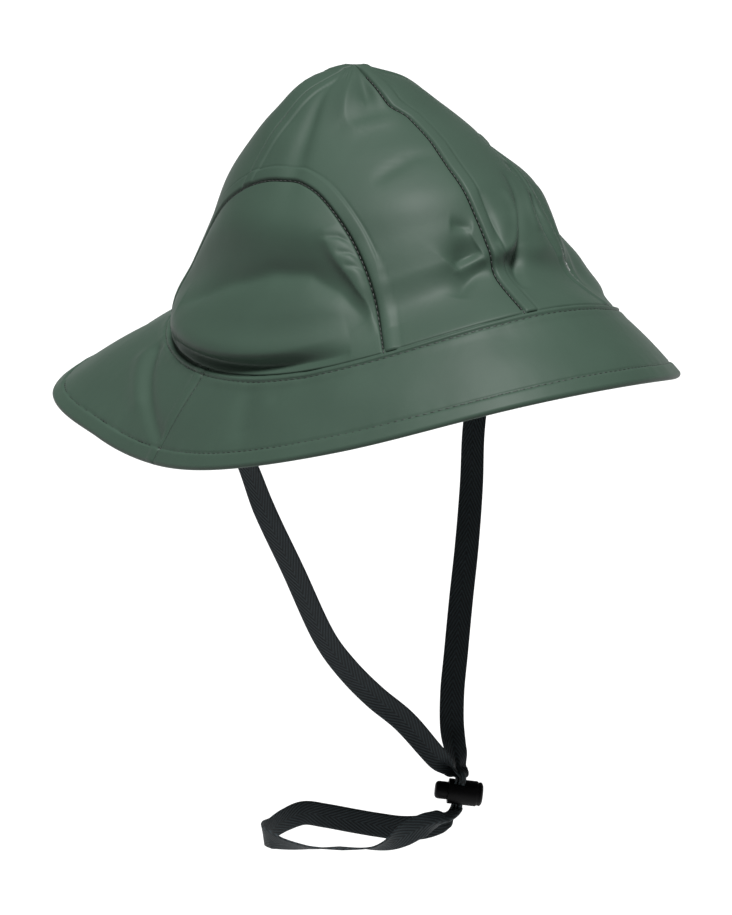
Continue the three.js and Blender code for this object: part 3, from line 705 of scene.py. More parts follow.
def seam_relief(points, seams, settings, allowance, pucker_seed):
    """Push of the seams at points of one panel.

    Close to any seam the cloth rolls down as exp(-(d/w)^2). Beside the seams named
    in allowance it stands up by the seam rise, from ALLOWANCE_START to the seam
    width. Small puckers run along each seam as waves that die away from it.
    """
    push = np.zeros(points.shape[:-1])
    for name, line in seams.items():
        distance, where = nearest_on_line(points, line)
        push -= settings.groove_depth * hill(distance, GROOVE_WIDTH)
        push -= DISH_SHARE * settings.groove_depth * hill(distance, DISH_WIDTH)
        if name in allowance:
            strip = past(distance, ALLOWANCE_START, 0.18) * before(distance, settings.seam_width, 0.26)
            push += settings.seam_rise * strip
            beyond = distance - settings.seam_width - EDGE_DIP_WIDTH
            push -= EDGE_DIP * hill(beyond, EDGE_DIP_WIDTH)
        short, long = PUCKER_WAVES
        wave = np.sin(where / short + pucker_seed) + 0.8 * np.sin(where / long + 2.1 * pucker_seed)
        wave = wave * (0.5 + 0.5 * np.sin(where / PUCKER_GATHER + pucker_seed))
        beside = np.exp(-distance / PUCKER_REACH) * (1 - np.exp(-distance / PUCKER_START))
        push += PUCKER_HEIGHT * wave * beside
    return push


# Meshes


def grid_mesh(name, points, uv=None, close_across=False):
    """Mesh of a grid of points in millimetres, one quad to a cell."""
    rows, columns = points.shape[:2]
    index = np.arange(rows * columns).reshape(rows, columns)
    if close_across:
        index = np.concatenate([index, index[:, :1]], axis=1)
    quads = np.stack(
        [index[:-1, :-1], index[:-1, 1:], index[1:, 1:], index[1:, :-1]], axis=-1
    ).reshape(-1, 4)
    return face_mesh(name, points.reshape(-1, 3), quads, uv)


def face_mesh(name, points, faces, uv=None):
    """Mesh from points in millimetres and faces of equal size, with smooth shading."""
    mesh = bpy.data.meshes.new(name)
    size = faces.shape[1]
    mesh.vertices.add(len(points))
    mesh.vertices.foreach_set("co", (points * MM).astype(np.float32).ravel())
    mesh.loops.add(faces.size)
    mesh.loops.foreach_set("vertex_index", faces.astype(np.int32).ravel())
    mesh.polygons.add(len(faces))
    mesh.polygons.foreach_set("loop_start", np.arange(0, faces.size, size, dtype=np.int32))
    mesh.update(calc_edges=True)
    mesh.validate()
    mesh.polygons.foreach_set("use_smooth", np.ones(len(mesh.polygons), dtype=bool))
    if uv is not None:
        layer = mesh.uv_layers.new(name="UVMap")
        loops = np.zeros(len(mesh.loops), dtype=np.int32)
        mesh.loops.foreach_get("vertex_index", loops)
        layer.data.foreach_set("uv", uv.reshape(-1, 2)[loops].astype(np.float32).ravel())
    return mesh


def place(name, mesh, materials, body, slot, nodes=()):
    """Adds a mesh as a piece that rides a body and stands for its CAD nodes."""
    piece = bpy.data.objects.new(name, mesh)
    bpy.context.scene.collection.objects.link(piece)
    for material in materials:
        mesh.materials.append(material)
    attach(piece, body)
    if nodes:
        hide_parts(*nodes)
    return piece


def thicken(piece, thickness):
    """Gives a sheet its wall on the inner side, which shows the cloth's backing."""
    wall = piece.modifiers.new("cloth wall", "SOLIDIFY")
    wall.thickness = thickness * MM
    wall.offset = -1.0
    wall.use_even_offset = False
    wall.material_offset = 1
    wall.material_offset_rim = 0


def outward_faces(mesh, centre):
    """Turns a sheet's faces round if most of them look towards the centre."""
    normals = np.zeros(len(mesh.polygons) * 3, np.float32)
    centres = np.zeros(len(mesh.polygons) * 3, np.float32)
    mesh.polygons.foreach_get("normal", normals)
    mesh.polygons.foreach_get("center", centres)
    out = centres.reshape(-1, 3) - np.array(centre) * MM
    if (normals.reshape(-1, 3) * out).sum() < 0:
        mesh.flip_normals()


# Materials


def linear(colour):
    """Linear RGBA of an sRGB hex number or of three sRGB shares."""
    c = np.array(shares(colour) if isinstance(colour, int) else colour, float)
    c = np.where(c <= 0.04045, c / 12.92, ((c + 0.055) / 1.055) ** 2.4)
    return (*c.tolist(), 1.0)


def node(tree, kind, links=None, **settings):
    """Adds a shader node, sets its properties and inputs, and links its inputs.

    A key of settings that is a property of the node sets that. Any other key is an
    input, with underscores for the spaces of its name. A link comes from a socket,
    or from the first output of a node.
    """
    made = tree.nodes.new(kind)
    for key, value in settings.items():
        if hasattr(made, key):
            setattr(made, key, value)
        else:
            made.inputs[key.replace("_", " ")].default_value = value
    for key, source in (links or {}).items():
        tree.links.new(getattr(source, "outputs", [source])[0], made.inputs[key])
    return made


def material_named(name, maker, *settings):
    """Returns a material, made on first use.

    The maker gets a function that adds nodes to it, the Object coordinates and the
    settings, and returns the shader.
    """
    if name in bpy.data.materials:
        return bpy.data.materials[name]
    material = bpy.data.materials.new(name)
    material.use_nodes = True
    material.node_tree.nodes.clear()

    def add(kind, links=None, **values):
        return node(material.node_tree, kind, links, **values)

    coords = add("ShaderNodeTexCoord").outputs["Object"]
    add("ShaderNodeOutputMaterial", {"Surface": maker(add, coords, *settings)})
    return material


def per_mm(pitch):
    """Scale of a pattern on Object coordinates that repeats once in pitch millimetres."""
    return 1.0 / (pitch * MM)


def blend_colour(add, factor, first, second):
    """Mixes two linear colours by a factor."""
    mix = add("ShaderNodeMix", {0: factor}, data_type="RGBA")
    mix.inputs[6].default_value = first
    mix.inputs[7].default_value = second
    return mix.outputs[2]


def shade_of(colour, share):
    """Linear RGBA of an sRGB colour, darkened or lightened by a share."""
    return linear(np.array(colour[:]) * share)


def coated_cloth(add, coords, settings):
    """Polyurethane-coated knit: a smooth satin skin over a soft cloth.

    The coating is spread wet and cured, so it has broad soft highlights, a faint
    orange-peel grain and slight cloudiness, and the knit under it barely shows.
    """
    at = {"Vector": coords}
    clouds = add("ShaderNodeTexNoise", at, Scale=per_mm(46), Detail=3.0)
    tone = add("ShaderNodeMapRange", {"Value": clouds}, From_Min=0.3, From_Max=0.7)
    dark, light = shade_of(settings.colour, 0.965), shade_of(settings.colour, 1.035)
    gloss = add("ShaderNodeTexNoise", at, Scale=per_mm(18), Detail=2.0)
    rough = add("ShaderNodeMapRange", {"Value": gloss}, To_Min=0.50, To_Max=0.58)
    soft = add("ShaderNodeTexNoise", at, Scale=per_mm(9.0), Detail=2.5)
    peel = add("ShaderNodeTexNoise", at, Scale=per_mm(1.1), Detail=2.0)
    knit = add("ShaderNodeTexVoronoi", at, Scale=per_mm(0.55), Randomness=0.35)
    normal = {}
    for height, strength, depth in ((soft, 0.22, 0.6), (peel, 0.10, 0.12), (knit, 0.08, 0.06)):
        bump = add(
            "ShaderNodeBump", {"Height": height, **normal}, Strength=strength, Distance=depth * MM
        )
        normal = {"Normal": bump}
    return add(
        "ShaderNodeBsdfPrincipled",
        {"Base Color": blend_colour(add, tone, dark, light), "Roughness": rough, **normal},
        IOR=1.48, Specular_IOR_Level=0.15,
    )


def knit_backing(add, coords, settings):
    """The uncoated back of the cloth: a dull fine knit with rows of small loops."""
    at = {"Vector": coords}
    loops = add("ShaderNodeTexVoronoi", at, Scale=per_mm(0.9), Randomness=0.5)
    clouds = add("ShaderNodeTexNoise", at, Scale=per_mm(30), Detail=3.0)
    tone = add("ShaderNodeMath", {0: loops, 1: clouds}, operation="MULTIPLY")
    dark, light = shade_of(settings.colour, 0.80), shade_of(settings.colour, 1.02)
    bump = add("ShaderNodeBump", {"Height": loops}, Strength=0.5, Distance=0.2 * MM)
    return add(
        "ShaderNodeBsdfPrincipled",
        {"Base Color": blend_colour(add, tone, dark, light), "Normal": bump},
        Roughness=0.86, Specular_IOR_Level=0.3, Sheen_Weight=0.2,
    )


def herringbone_tape(add, coords, settings):
    """Polypropylene herringbone tape: fine slanted ribs that turn at the middle.

    The UV map runs in millimetres, across the tape and along it. A rib's phase is
    the run along the tape plus twice the distance from its middle, so that the ribs
    lie at 27 degrees to the tape.
    """
    slant, rib = 2.0, 2.6
    uv = add("ShaderNodeUVMap", uv_map="UVMap")
    parts = add("ShaderNodeSeparateXYZ", {0: uv}).outputs
    fold = add("ShaderNodeMath", {0: parts[0]}, operation="ABSOLUTE")
    lean = add("ShaderNodeMath", {0: fold}, operation="MULTIPLY")
    lean.inputs[1].default_value = slant
    run = add("ShaderNodeMath", {0: lean, 1: parts[1]}, operation="ADD")
    turn = add("ShaderNodeMath", {0: run}, operation="MULTIPLY")
    turn.inputs[1].default_value = 2 * math.pi / rib
    wave = add("ShaderNodeMath", {0: turn}, operation="SINE")
    height = add("ShaderNodeMapRange", {"Value": wave}, From_Min=-1.0)
    fibre = add("ShaderNodeTexNoise", {"Vector": coords}, Scale=per_mm(0.5), Detail=3.0)
    # The rib tops are painted lighter and the rib grooves darker by the rib height, a painted
    # highlight and shade, mixed with random fibre tone
    rib_shade_and_fibre = add("ShaderNodeMath", {0: height, 1: fibre}, operation="MULTIPLY")
    dark, light = shade_of(settings.colour, 0.60), shade_of(settings.colour, 2.5)
    ribs = add("ShaderNodeBump", {"Height": height}, Strength=0.55, Distance=0.22 * MM)
    fuzz = add(
        "ShaderNodeBump", {"Height": fibre, "Normal": ribs}, Strength=0.35, Distance=0.1 * MM
    )
    return add(
        "ShaderNodeBsdfPrincipled",
        {"Base Color": blend_colour(add, rib_shade_and_fibre, dark, light), "Normal": fuzz},
        Roughness=0.72, Specular_IOR_Level=0.25, Sheen_Weight=0.05, Sheen_Roughness=0.5,
    )


def sewing_thread(add, coords, settings):
    """Twisted polyester thread: a slight sheen and a fine twist."""
    twist = add("ShaderNodeTexNoise", {"Vector": coords}, Scale=per_mm(0.35), Detail=2.0)
    dark, light = shade_of(settings.thread_colour, 0.8), shade_of(settings.thread_colour, 1.2)
    bump = add("ShaderNodeBump", {"Height": twist}, Strength=0.4, Distance=0.08 * MM)
    return add(
        "ShaderNodeBsdfPrincipled",
        {"Base Color": blend_colour(add, twist, dark, light), "Normal": bump},
        Roughness=0.55,
    )


def moulded_nylon(add, coords, settings):
    """Injection-moulded nylon: near black, low sheen, with a fine spark-eroded grain."""
    grain = add("ShaderNodeTexNoise", {"Vector": coords}, Scale=per_mm(0.45), Detail=3.0)
    wear = add("ShaderNodeTexNoise", {"Vector": coords}, Scale=per_mm(4.0), Detail=4.0)
    dark, light = shade_of(settings.colour, 0.8), shade_of(settings.colour, 1.5)
    rough = add("ShaderNodeMapRange", {"Value": wear}, To_Min=0.42, To_Max=0.56)
    bump = add("ShaderNodeBump", {"Height": grain}, Strength=0.18, Distance=0.06 * MM)
    colour = blend_colour(add, wear, dark, light)
    return add(
        "ShaderNodeBsdfPrincipled",
        {"Base Color": colour, "Roughness": rough, "Normal": bump},
        IOR=1.53, Specular_IOR_Level=0.10,
    )


def paper_floor(add, coords):
    """Matt pale grey paper, which strong light turns white in the picture."""
    pulp = add("ShaderNodeTexNoise", {"Vector": coords}, Scale=per_mm(6), Detail=2.0)
    colour = blend_colour(add, pulp, linear(0xB4B4B4), linear(0xB8B8B8))
    return add("ShaderNodeBsdfPrincipled", {"Base Color": colour}, Roughness=0.9)


def cloth_materials(scene):
    """The cloth's coated face and its knitted back, in the order of the wall's slots."""
    settings = scene.hat_cloth
    return [
        material_named("polyurethane coated cloth", coated_cloth, settings),
        material_named("knitted cloth backing", knit_backing, settings),
    ]


# Crown pieces


def gore_grid(side, front, settings):
    """Angles and heights of a gore's grid.

    A column starts on the gore's foot, which runs along the brim seam, up the end
    of the arch and over the arch to the side seam, and climbs to the peak while
    its angle moves from the foot's to an even share between the two side seams.
    """
    near = arch_ends(side)[0 if front else 1]
    edge = side * SIDE_SEAM
    middle = 0.0 if front else 180.0 * side
    arch = near + (edge - near) * np.linspace(0, 1, 90) ** 1.8
    arch_low = arch_height(arch)
    arch_low[0] = ARCH_FOOT
    low = np.linspace(middle + centre_seam_at(0.0), near, 60)
    rise = np.linspace(0, ARCH_FOOT, FOOT_PLACES + 2)[1:-1]
    foot_angle = np.concatenate([low, np.full(len(rise), near), arch])
    foot_height = np.concatenate([np.zeros(len(low)), rise, arch_low])
    run = run_along(crown_base(foot_angle, foot_height))
    u = steps(settings.columns, 1.8)
    foot_angle, foot_height = (
        np.interp(u * run[-1], run, values) for values in (foot_angle, foot_height)
    )
    climb = steps_from_start(settings.rows)[:, None]
    height = foot_height + (1.0 - foot_height) * climb
    head = middle + (edge - middle) * u
    fade = (1 - u) ** 2
    wander = (centre_seam_at(height) - centre_seam_at(foot_height)) * fade
    head = head + centre_seam_at(0.0) * fade
    angle = foot_angle + (head - foot_angle) * climb ** 1.2 + wander
    angle[:, 0] = middle + centre_seam_at(height[:, 0])
    angle[:, -1] = edge
    return angle, height


def panel_grid(side, settings):
    """Angles and heights of a side panel's grid, from the brim seam to the arch."""
    front, back = arch_ends(side)
    angle = front + (back - front) * steps(settings.columns, 2.1)
    top = arch_height(angle)
    top[[0, -1]] = ARCH_FOOT
    rise = steps(settings.rows)[:, None]
    return angle + 0 * rise, top * rise


# Creases die away within this distance of a seam
CREASE_CALM = 2.2
# Half width of the rounded peak, and how far it sinks as a share of the groove
PEAK_WIDTH = 3.0
PEAK_SINK = 0.6
CROWN_INSIDE = (0, 10, 20)


def crown_piece(name, angle, height, allowance, seed, context):
    """Makes a crown panel: base surface, creases and seam relief along the normal.

    At the peak, where the panels meet and no direction is left, the push turns to
    a small sink straight down.
    """
    settings = context.scene.hat_cloth
    base = crown_base(angle, height)
    seams = seam_lines()
    gap = np.min([nearest_on_line(base, line)[0] for line in seams.values()], axis=0)
    push = crease_push(base, angle, height) * (1 - hill(gap, CREASE_CALM))
    push = push + seam_relief(base, seams, settings, allowance, seed)
    from_peak = np.linalg.norm(base - crown_base(np.array(0.0), np.array(1.0)), axis=-1)
    at_peak = hill(from_peak, PEAK_WIDTH)[..., None]
    push = push[..., None] * (1 - at_peak) - PEAK_SINK * settings.groove_depth * at_peak
    normal = unit(crown_normal(angle, height) * (1 - at_peak) + np.array([0, 0, 1.0]) * at_peak)
    mesh = grid_mesh(name, base + normal * push)
    outward_faces(mesh, CROWN_INSIDE)
    cloth = cloth_materials(context.scene)
    piece = place(name + "_cloth", mesh, cloth, "hat", "coated_cloth", [name])
    thicken(piece, settings.thickness)


class HAT_OT_gores(bpy.types.Operator):
    """Makes the four crown gores"""

    bl_idname = "hat.gores"
    bl_label = "Crown gores"

    def execute(self, context):
        for side, side_name in SIDES:
            for front, end in ((True, "front"), (False, "back")):
                angle, height = gore_grid(side, front, context.scene.hat_cloth)
                allowance = {"arch_" + side_name}
                if side == (1 if front else -1):
                    allowance.add("centre_" + end)
                if front:
                    allowance.add("side_" + side_name)
                seed = 1.7 * side + front
                crown_piece(f"gore_{end}_{side_name}", angle, height, allowance, seed, context)
        return {"FINISHED"}


class HAT_OT_side_panels(bpy.types.Operator):
    """Makes the arched side panels over the ears"""

    bl_idname = "hat.side_panels"
    bl_label = "Side panels"

    def execute(self, context):
        for side, side_name in SIDES:
            angle, height = panel_grid(side, context.scene.hat_cloth)
            crown_piece("side_panel_" + side_name, angle, height, set(), 3.3 * side, context)
        return {"FINISHED"}


# Brim


def brim_wave(angle):
    """Lift of the brim's edge, a sum of Gaussian waves round the hat."""
    return sum(amount * hill(wrap(angle - centre), spread) for centre, spread, amount in BRIM_WAVES)


def brim_point(angle, distance, depth):
    """Point of the brim.

    From the seam it falls outwards at the brim's angle for the distance, bowed up
    by half a sine and by the edge's waves, and sinks square to itself by depth.
    """
    around = np.abs(wrap(angle))
    reach = reach_at(around)
    fall = np.radians(fall_at(around))
    share = np.clip(distance / reach, 0, 1)
    bow = BRIM_CAMBER * np.sin(np.pi * share) + brim_wave(angle) * share ** 2
    level = distance * np.cos(fall) + (bow - depth) * np.sin(fall)
    drop = distance * np.sin(fall) - (bow - depth) * np.cos(fall)
    point = seam_point(angle) + seam_outward(angle) * level[..., None]
    point[..., 2] -= drop
    return point


# Distance of the brim seam's topstitch from the seam
TOPSTITCH = 2.7
# How far the brim's inner edge is tucked under the crown
SEAM_TUCK = 1.8
# How deep the dark thread that paints the shade of the crown's seams lies under the cloth's face
SHADE_THREAD_DEPTH = 0.45
# Width of the allowance along the brim seam, and its height
BRIM_ALLOWANCE = 5.6
BRIM_ALLOWANCE_RISE = 0.30
# The ridge of cloth between the brim seam and its topstitch
SEAM_RIDGE = 1.4
SEAM_RIDGE_RISE = 0.45
# Depth and half width of the grooves of the topstitch, the seam and the hem
TOPSTITCH_GROOVE = (0.55, 0.38)
BRIM_SEAM_GROOVE = (0.90, 0.70)
HEM_GROOVE = (0.60, 0.42)
UNDER_GROOVE = (0.35, 0.50)
# The hem swells from this far outside its stitching, over this softness
HEM_SHOULDER = 0.5
HEM_SOFTNESS = 0.35
# The joins over the ears: groove, dish, and the allowance behind them
JOIN_GROOVE = (0.55, 0.4)
JOIN_DISH = (0.15, 2.2)
JOIN_ALLOWANCE = 5.5
JOIN_ALLOWANCE_RISE = 0.35
# Puckers beside the brim's stitching. Columns: length over two pi in millimetres,
# phase, share. Then their height and reach by the hem and by the topstitch
BRIM_PUCKERS = ((1.15, 0.0, 1.0), (2.3, 1.0, 0.7), (5.1, 0.4, 0.6))
BRIM_MM_PER_DEGREE = 1.9
HEM_PUCKERS = (0.085, 2.6)
TOPSTITCH_PUCKERS = (0.06, 2.4)
# Shares of the way round the brim's section at which its rolled edge lies
EDGE_START = 0.46
EDGE_END = 0.54
BRIM_SECTIONS = 250
SECTION_POINTS = 149


def groove(distance, depth_and_width):
    """Lift of a groove's Gaussian section, which is negative."""
    depth, width = depth_and_width
    return -depth * hill(distance, width)


def brim_folds(angle, distance):
    """Push of the brim's soft folds, Gaussian across a short line on the flat brim."""
    push = np.zeros(np.broadcast(angle, distance).shape)
    round_mm = math.radians(1) * (HEAD_HALF_WIDTH + 0.7 * distance)
    for from_angle, from_distance, to_angle, to_distance, width, amount in BRIM_FOLDS:
        u, v = wrap(angle - from_angle) * round_mm, distance - from_distance
        length_u, length_v = wrap(to_angle - from_angle) * round_mm, to_distance - from_distance
        share = (u * length_u + v * length_v) / (length_u ** 2 + length_v ** 2)
        share = np.clip(share, 0, 1)
        push += amount * hill(np.hypot(u - share * length_u, v - share * length_v), width)
    return push


def brim_relief(angle, distance, reach, settings, brim):
    """Height of the brim's upper face over the plain cloth.

    The seam allowance lifts a strip by the seam, its topstitch and the hem's
    stitching press narrow grooves, the hem swells to its thickness, and small
    puckers lie beside each stitch line.
    """
    distance = np.maximum(distance, 0.0)
    from_hem = reach - distance - brim.hem_width
    hem_rise = (brim.hem_thickness - settings.thickness) / 2
    run = angle * BRIM_MM_PER_DEGREE
    wave = sum(share * np.sin(run / length + phase) for length, phase, share in BRIM_PUCKERS)
    beside_hem, beside_seam = (
        height * np.exp(-np.abs(gap) / spread)
        for gap, (height, spread) in (
            (from_hem, HEM_PUCKERS), (distance - TOPSTITCH, TOPSTITCH_PUCKERS)
        )
    )
    lift = (
        SEAM_RIDGE_RISE * hill(distance - SEAM_RIDGE, 1.0, 4)
        + BRIM_ALLOWANCE_RISE * before(distance, BRIM_ALLOWANCE, 0.5)
        + groove(distance - TOPSTITCH, TOPSTITCH_GROOVE)
        + groove(distance, BRIM_SEAM_GROOVE)
        + 0.75 * hem_rise * before(from_hem, -HEM_SHOULDER, HEM_SOFTNESS)
        + groove(from_hem, HEM_GROOVE)
        + brim_folds(angle, distance)
        + wave * (beside_hem + beside_seam)
    )
    for join in BRIM_JOINS:
        gap = np.abs(wrap(angle - join)) * math.radians(1) * (HEAD_HALF_WIDTH + distance)
        behind = wrap(angle - join) * np.sign(join) > 0
        # Beyond 30 mm the strip is nothing, and a larger gap would overflow its powers
        near = np.minimum(gap, 30.0)
        strip = past(near, ALLOWANCE_START, 0.2) * before(near, JOIN_ALLOWANCE, 0.5)
        lift = lift + groove(gap, JOIN_GROOVE) + groove(gap, JOIN_DISH)
        lift = lift + np.where(behind, JOIN_ALLOWANCE_RISE * strip, 0.0)
    return lift


def brim_surface(angle, share_out, settings, brim):
    """Closed loop round the brim's section, by a share from 0 to 1.

    It runs out along the upper face, round the rolled edge and back underneath.
    """
    reach = reach_at(np.abs(wrap(angle)))
    half, middle = brim.hem_thickness / 2, settings.thickness / 2
    flat = reach - half
    upper, lower = share_out <= EDGE_START, share_out >= EDGE_END
    out_share = np.where(upper, share_out, np.where(lower, 1 - share_out, EDGE_START)) / EDGE_START
    distance = (flat + SEAM_TUCK) * crowd(2 * out_share - 1) - SEAM_TUCK
    bend = np.clip((share_out - EDGE_START) / (EDGE_END - EDGE_START), 0, 1) * np.pi
    distance = np.where(upper | lower, distance, flat + half * np.sin(bend))
    top = -brim_relief(angle, distance, reach, settings, brim)
    from_hem = reach - distance - brim.hem_width
    hem = (half - middle) * before(from_hem, -HEM_SHOULDER, HEM_SOFTNESS)
    low = settings.thickness + hem + groove(from_hem, UNDER_GROOVE)
    edge_top = -brim_relief(angle, flat, reach, settings, brim)
    edge_low = settings.thickness + half - middle
    round_depth = (edge_top + edge_low) / 2 - (edge_low - edge_top) / 2 * np.cos(bend)
    depth = np.where(upper, top, np.where(lower, low, round_depth))
    return brim_point(angle, distance, depth)


class HAT_OT_brim(bpy.types.Operator):
    """Makes the front and back pieces of the brim with their rolled hem"""

    bl_idname = "hat.brim"
    bl_label = "Brim"

    def execute(self, context):
        scene = context.scene
        right, left = BRIM_JOINS
        share = np.linspace(0, 1, SECTION_POINTS, endpoint=False)
        for name, start, end in (("brim_front", right, left), ("brim_back", left, right + 360)):
            angle = start + (end - start) * steps(BRIM_SECTIONS, 1.3)
            angles, shares = np.meshgrid(angle, share, indexing="ij")
            points = brim_surface(angles, shares, scene.hat_cloth, scene.hat_brim)
            mesh = grid_mesh(name, points, close_across=True)
            close_ends(mesh, points.shape[:2])
            place(name + "_cloth", mesh, cloth_materials(scene), "hat", "coated_cloth", [name])
            outward_volume(mesh)
        return {"FINISHED"}


def close_ends(mesh, shape):
    """Closes the first and the last section of a swept mesh with one face each."""
    rows, columns = shape
    made = bmesh.new()
    made.from_mesh(mesh)
    made.verts.ensure_lookup_table()
    for row in (0, rows - 1):
        made.faces.new([made.verts[row * columns + k] for k in range(columns)])
    bmesh.ops.recalc_face_normals(made, faces=made.faces)
    made.to_mesh(mesh)
    made.free()


def outward_volume(mesh):
    """Turns a closed mesh's faces round if its signed volume is negative."""
    mesh.calc_loop_triangles()
    corners = np.zeros(len(mesh.loop_triangles) * 3, np.int32)
    mesh.loop_triangles.foreach_get("vertices", corners)
    co = np.zeros(len(mesh.vertices) * 3, np.float32)
    mesh.vertices.foreach_get("co", co)
    a, b, c = np.moveaxis(co.reshape(-1, 3)[corners.reshape(-1, 3)], 1, 0)
    if np.einsum("ij,ij->i", a, np.cross(b, c)).sum() < 0:
        mesh.flip_normals()


# Stitching


# Rings of one stitch: place along it, size and lift as shares of the thread's radius
STITCH_RINGS = np.array([
    [0.00, 0.55, -0.90],
    [0.18, 0.95, 0.10],
    [0.50, 1.00, 0.45],
    [0.82, 0.95, 0.10],
    [1.00, 0.55, -0.90],
])
STITCH_SIDES = 6
# Length of a stitch in the hidden seams, and the thread of the joins over the ears
SEAM_STITCH = 2.4
JOIN_THREAD = 0.45
# Share of a hem stitch's length that its thread spans before the next hole
STITCH_COVER = 0.86


def stitch_row(path, normal, length, thread, sink=0.0, cover=1.0):
    """Joined stitches along a path.

    The path is cut into equal stitches. Each is a bowed tube of six sides and five
    rings that rises from the cloth to the thread's height and dips again.
    """
    run = run_along(path)
    count = max(1, int(run[-1] / length))
    share, size, rise = STITCH_RINGS.T
    places = (np.arange(count)[:, None] + share * cover) * run[-1] / count
    centre, up = (
        np.stack([np.interp(places, run, column) for column in table.T], axis=-1)
        for table in (path, normal)
    )
    up = unit(up)
    ahead = unit(centre[:, -1] - centre[:, 0])[:, None, :] + 0 * centre
    sideways = unit(np.cross(ahead, up))
    centre = centre + up * (rise * thread / 2 - sink)[:, None]
    turn = np.arange(STITCH_SIDES) * 2 * np.pi / STITCH_SIDES
    radius = (size * thread / 2)[:, None, None]
    ring = (
        centre[:, :, None, :]
        + radius * np.cos(turn)[:, None] * sideways[:, :, None, :]
        + radius * np.sin(turn)[:, None] * up[:, :, None, :]
    )
    last = STITCH_SIDES * (len(STITCH_RINGS) - 1)
    base = (np.arange(count) * (last + STITCH_SIDES))[:, None, None]
    j = base + np.arange(0, last, STITCH_SIDES)[None, :, None]
    k = np.arange(STITCH_SIDES)
    n = (k + 1) % STITCH_SIDES
    quads = np.stack([j + k, j + n, j + STITCH_SIDES + n, j + STITCH_SIDES + k], axis=-1)
    ends = [(0, 3, 2, 1), (0, 5, 4, 3), (last, last + 1, last + 2, last + 3)]
    ends.append((last, last + 3, last + 4, last + 5))
    caps = [base.reshape(-1, 1) + np.array(order) for order in ends]
    return ring.reshape(-1, 3), np.concatenate([quads.reshape(-1, 4), *caps])


def sew(name, rows, scene):
    """Joins rows of stitches, each its points and faces, into one piece on the hat."""
    points, faces = zip(*rows)
    starts = np.cumsum([0] + [len(row) for row in points[:-1]])
    faces = np.concatenate([row + start for row, start in zip(faces, starts)])
    thread = material_named("polyester sewing thread", sewing_thread, scene.hat_brim)
    mesh = face_mesh(name, np.concatenate(points), faces)
    place(name, mesh, [thread], "hat", "coated_cloth")


def brim_line(angle, distance_at, scene, under=False):
    """A stitch path on the brim with its normals, at angles and distances from the seam."""
    settings, brim = scene.hat_cloth, scene.hat_brim
    reach = reach_at(np.abs(wrap(angle)))
    distance = distance_at(reach)
    depth = -brim_relief(angle, distance, reach, settings, brim)
    if under:
        # Half way into the swelling of the hem under the brim
        depth[:] = settings.thickness + (brim.hem_thickness - settings.thickness) / 4
    path = brim_point(angle, distance, depth)
    fall = np.radians(fall_at(np.abs(wrap(angle))))
    normal = seam_outward(angle) * np.sin(fall)[:, None]
    normal[:, 2] += np.cos(fall)
    return path, -normal if under else normal


class HAT_OT_stitching(bpy.types.Operator):
    """Sews the hem and the brim's seams, and lays dark thread in the crown's seams as painted shade"""

    bl_idname = "hat.stitching"
    bl_label = "Stitching"

    def execute(self, context):
        scene = context.scene
        brim = scene.hat_brim
        round_brim = np.linspace(-180, 180, 720)
        for name, distance_at in (
            ("hem_stitches", lambda reach: reach - brim.hem_width),
            ("brim_seam_topstitch", lambda reach: 0 * reach + TOPSTITCH),
        ):
            lines = [brim_line(round_brim, distance_at, scene, under) for under in (False, True)]
            sew(name, [
                stitch_row(*line, brim.stitch_length, brim.thread, cover=STITCH_COVER)
                for line in lines
            ], scene)
        self.sew_joins(scene)
        self.lay_crown_shade_thread(scene)
        return {"FINISHED"}

    def sew_joins(self, scene):
        """Sews the two brim pieces together over the ears."""
        start, short_of_edge = 1.0, 1.6
        share = np.linspace(0, 1, 60)
        rows = []
        for join in BRIM_JOINS:
            line = brim_line(
                np.full(len(share), join),
                lambda reach: start + share * (reach - start - short_of_edge),
                scene,
            )
            rows.append(stitch_row(*line, SEAM_STITCH, JOIN_THREAD))
        sew("brim_join_stitches", rows, scene)

    def lay_crown_shade_thread(self, scene):
        """Lays dark stitches low in the crown's seam grooves, where they show as a line of painted
        shade.
        """
        highest = 0.97
        rows = []
        for angle, height in seam_places().values():
            at = angle[height < highest], height[height < highest]
            rows.append(stitch_row(
                crown_base(*at), crown_normal(*at), SEAM_STITCH, scene.hat_brim.thread,
                sink=SHADE_THREAD_DEPTH,
            ))
        # Dark thread along the crown's seams, a painted shade line in their grooves
        sew("crown_seam_shade_thread", rows, scene)


# Chin strap


def lock_frame():
    """Axis of the cord lock, across it, and down along the strap through it."""
    axis = facing(LOCK_TURN, LOCK_TILT)
    across = facing(LOCK_TURN - 90, 0)
    return axis, across, unit(np.cross(axis, across))


def at_lock(along, down):
    """Point in the lock's middle plane, along its barrel and down through it."""
    axis, _, low = lock_frame()
    return np.array(LOCK_CENTRE) + axis * along + low * down


def anchored(angle, rise):
    """Station of a stitched tape end, flat on the inner wall of the crown."""
    at = np.array(angle), np.array(max(0.01, rise / CROWN_HEIGHT))
    face = crown_normal(*at)
    point = crown_base(*at) - face * ANCHOR_BACK
    return (*(point + np.array([0, 0, min(0.0, rise)])), *face, 0.0)


def strap_stations():
    """Stations of the whole strap: place, face and fold."""
    right, loop, left = (
        [(*row[:3], *facing(*row[3:5]), row[5]) for row in table]
        for table in (RIGHT_RUN, LOOP, LEFT_RUN)
    )
    across = lock_frame()[1]
    return np.array([
        *(anchored(RIGHT_ANCHOR, rise) for rise in ANCHOR_RISES),
        *right,
        *((*at_lock(-STRAP_PITCH, down), *across, 1.0) for down in LOCK_PASS),
        *loop,
        *((*at_lock(STRAP_PITCH, down), *(-across), 1.0) for down in LOCK_PASS[::-1]),
        *left,
        *(anchored(LEFT_ANCHOR, rise) for rise in ANCHOR_RISES[::-1]),
    ])


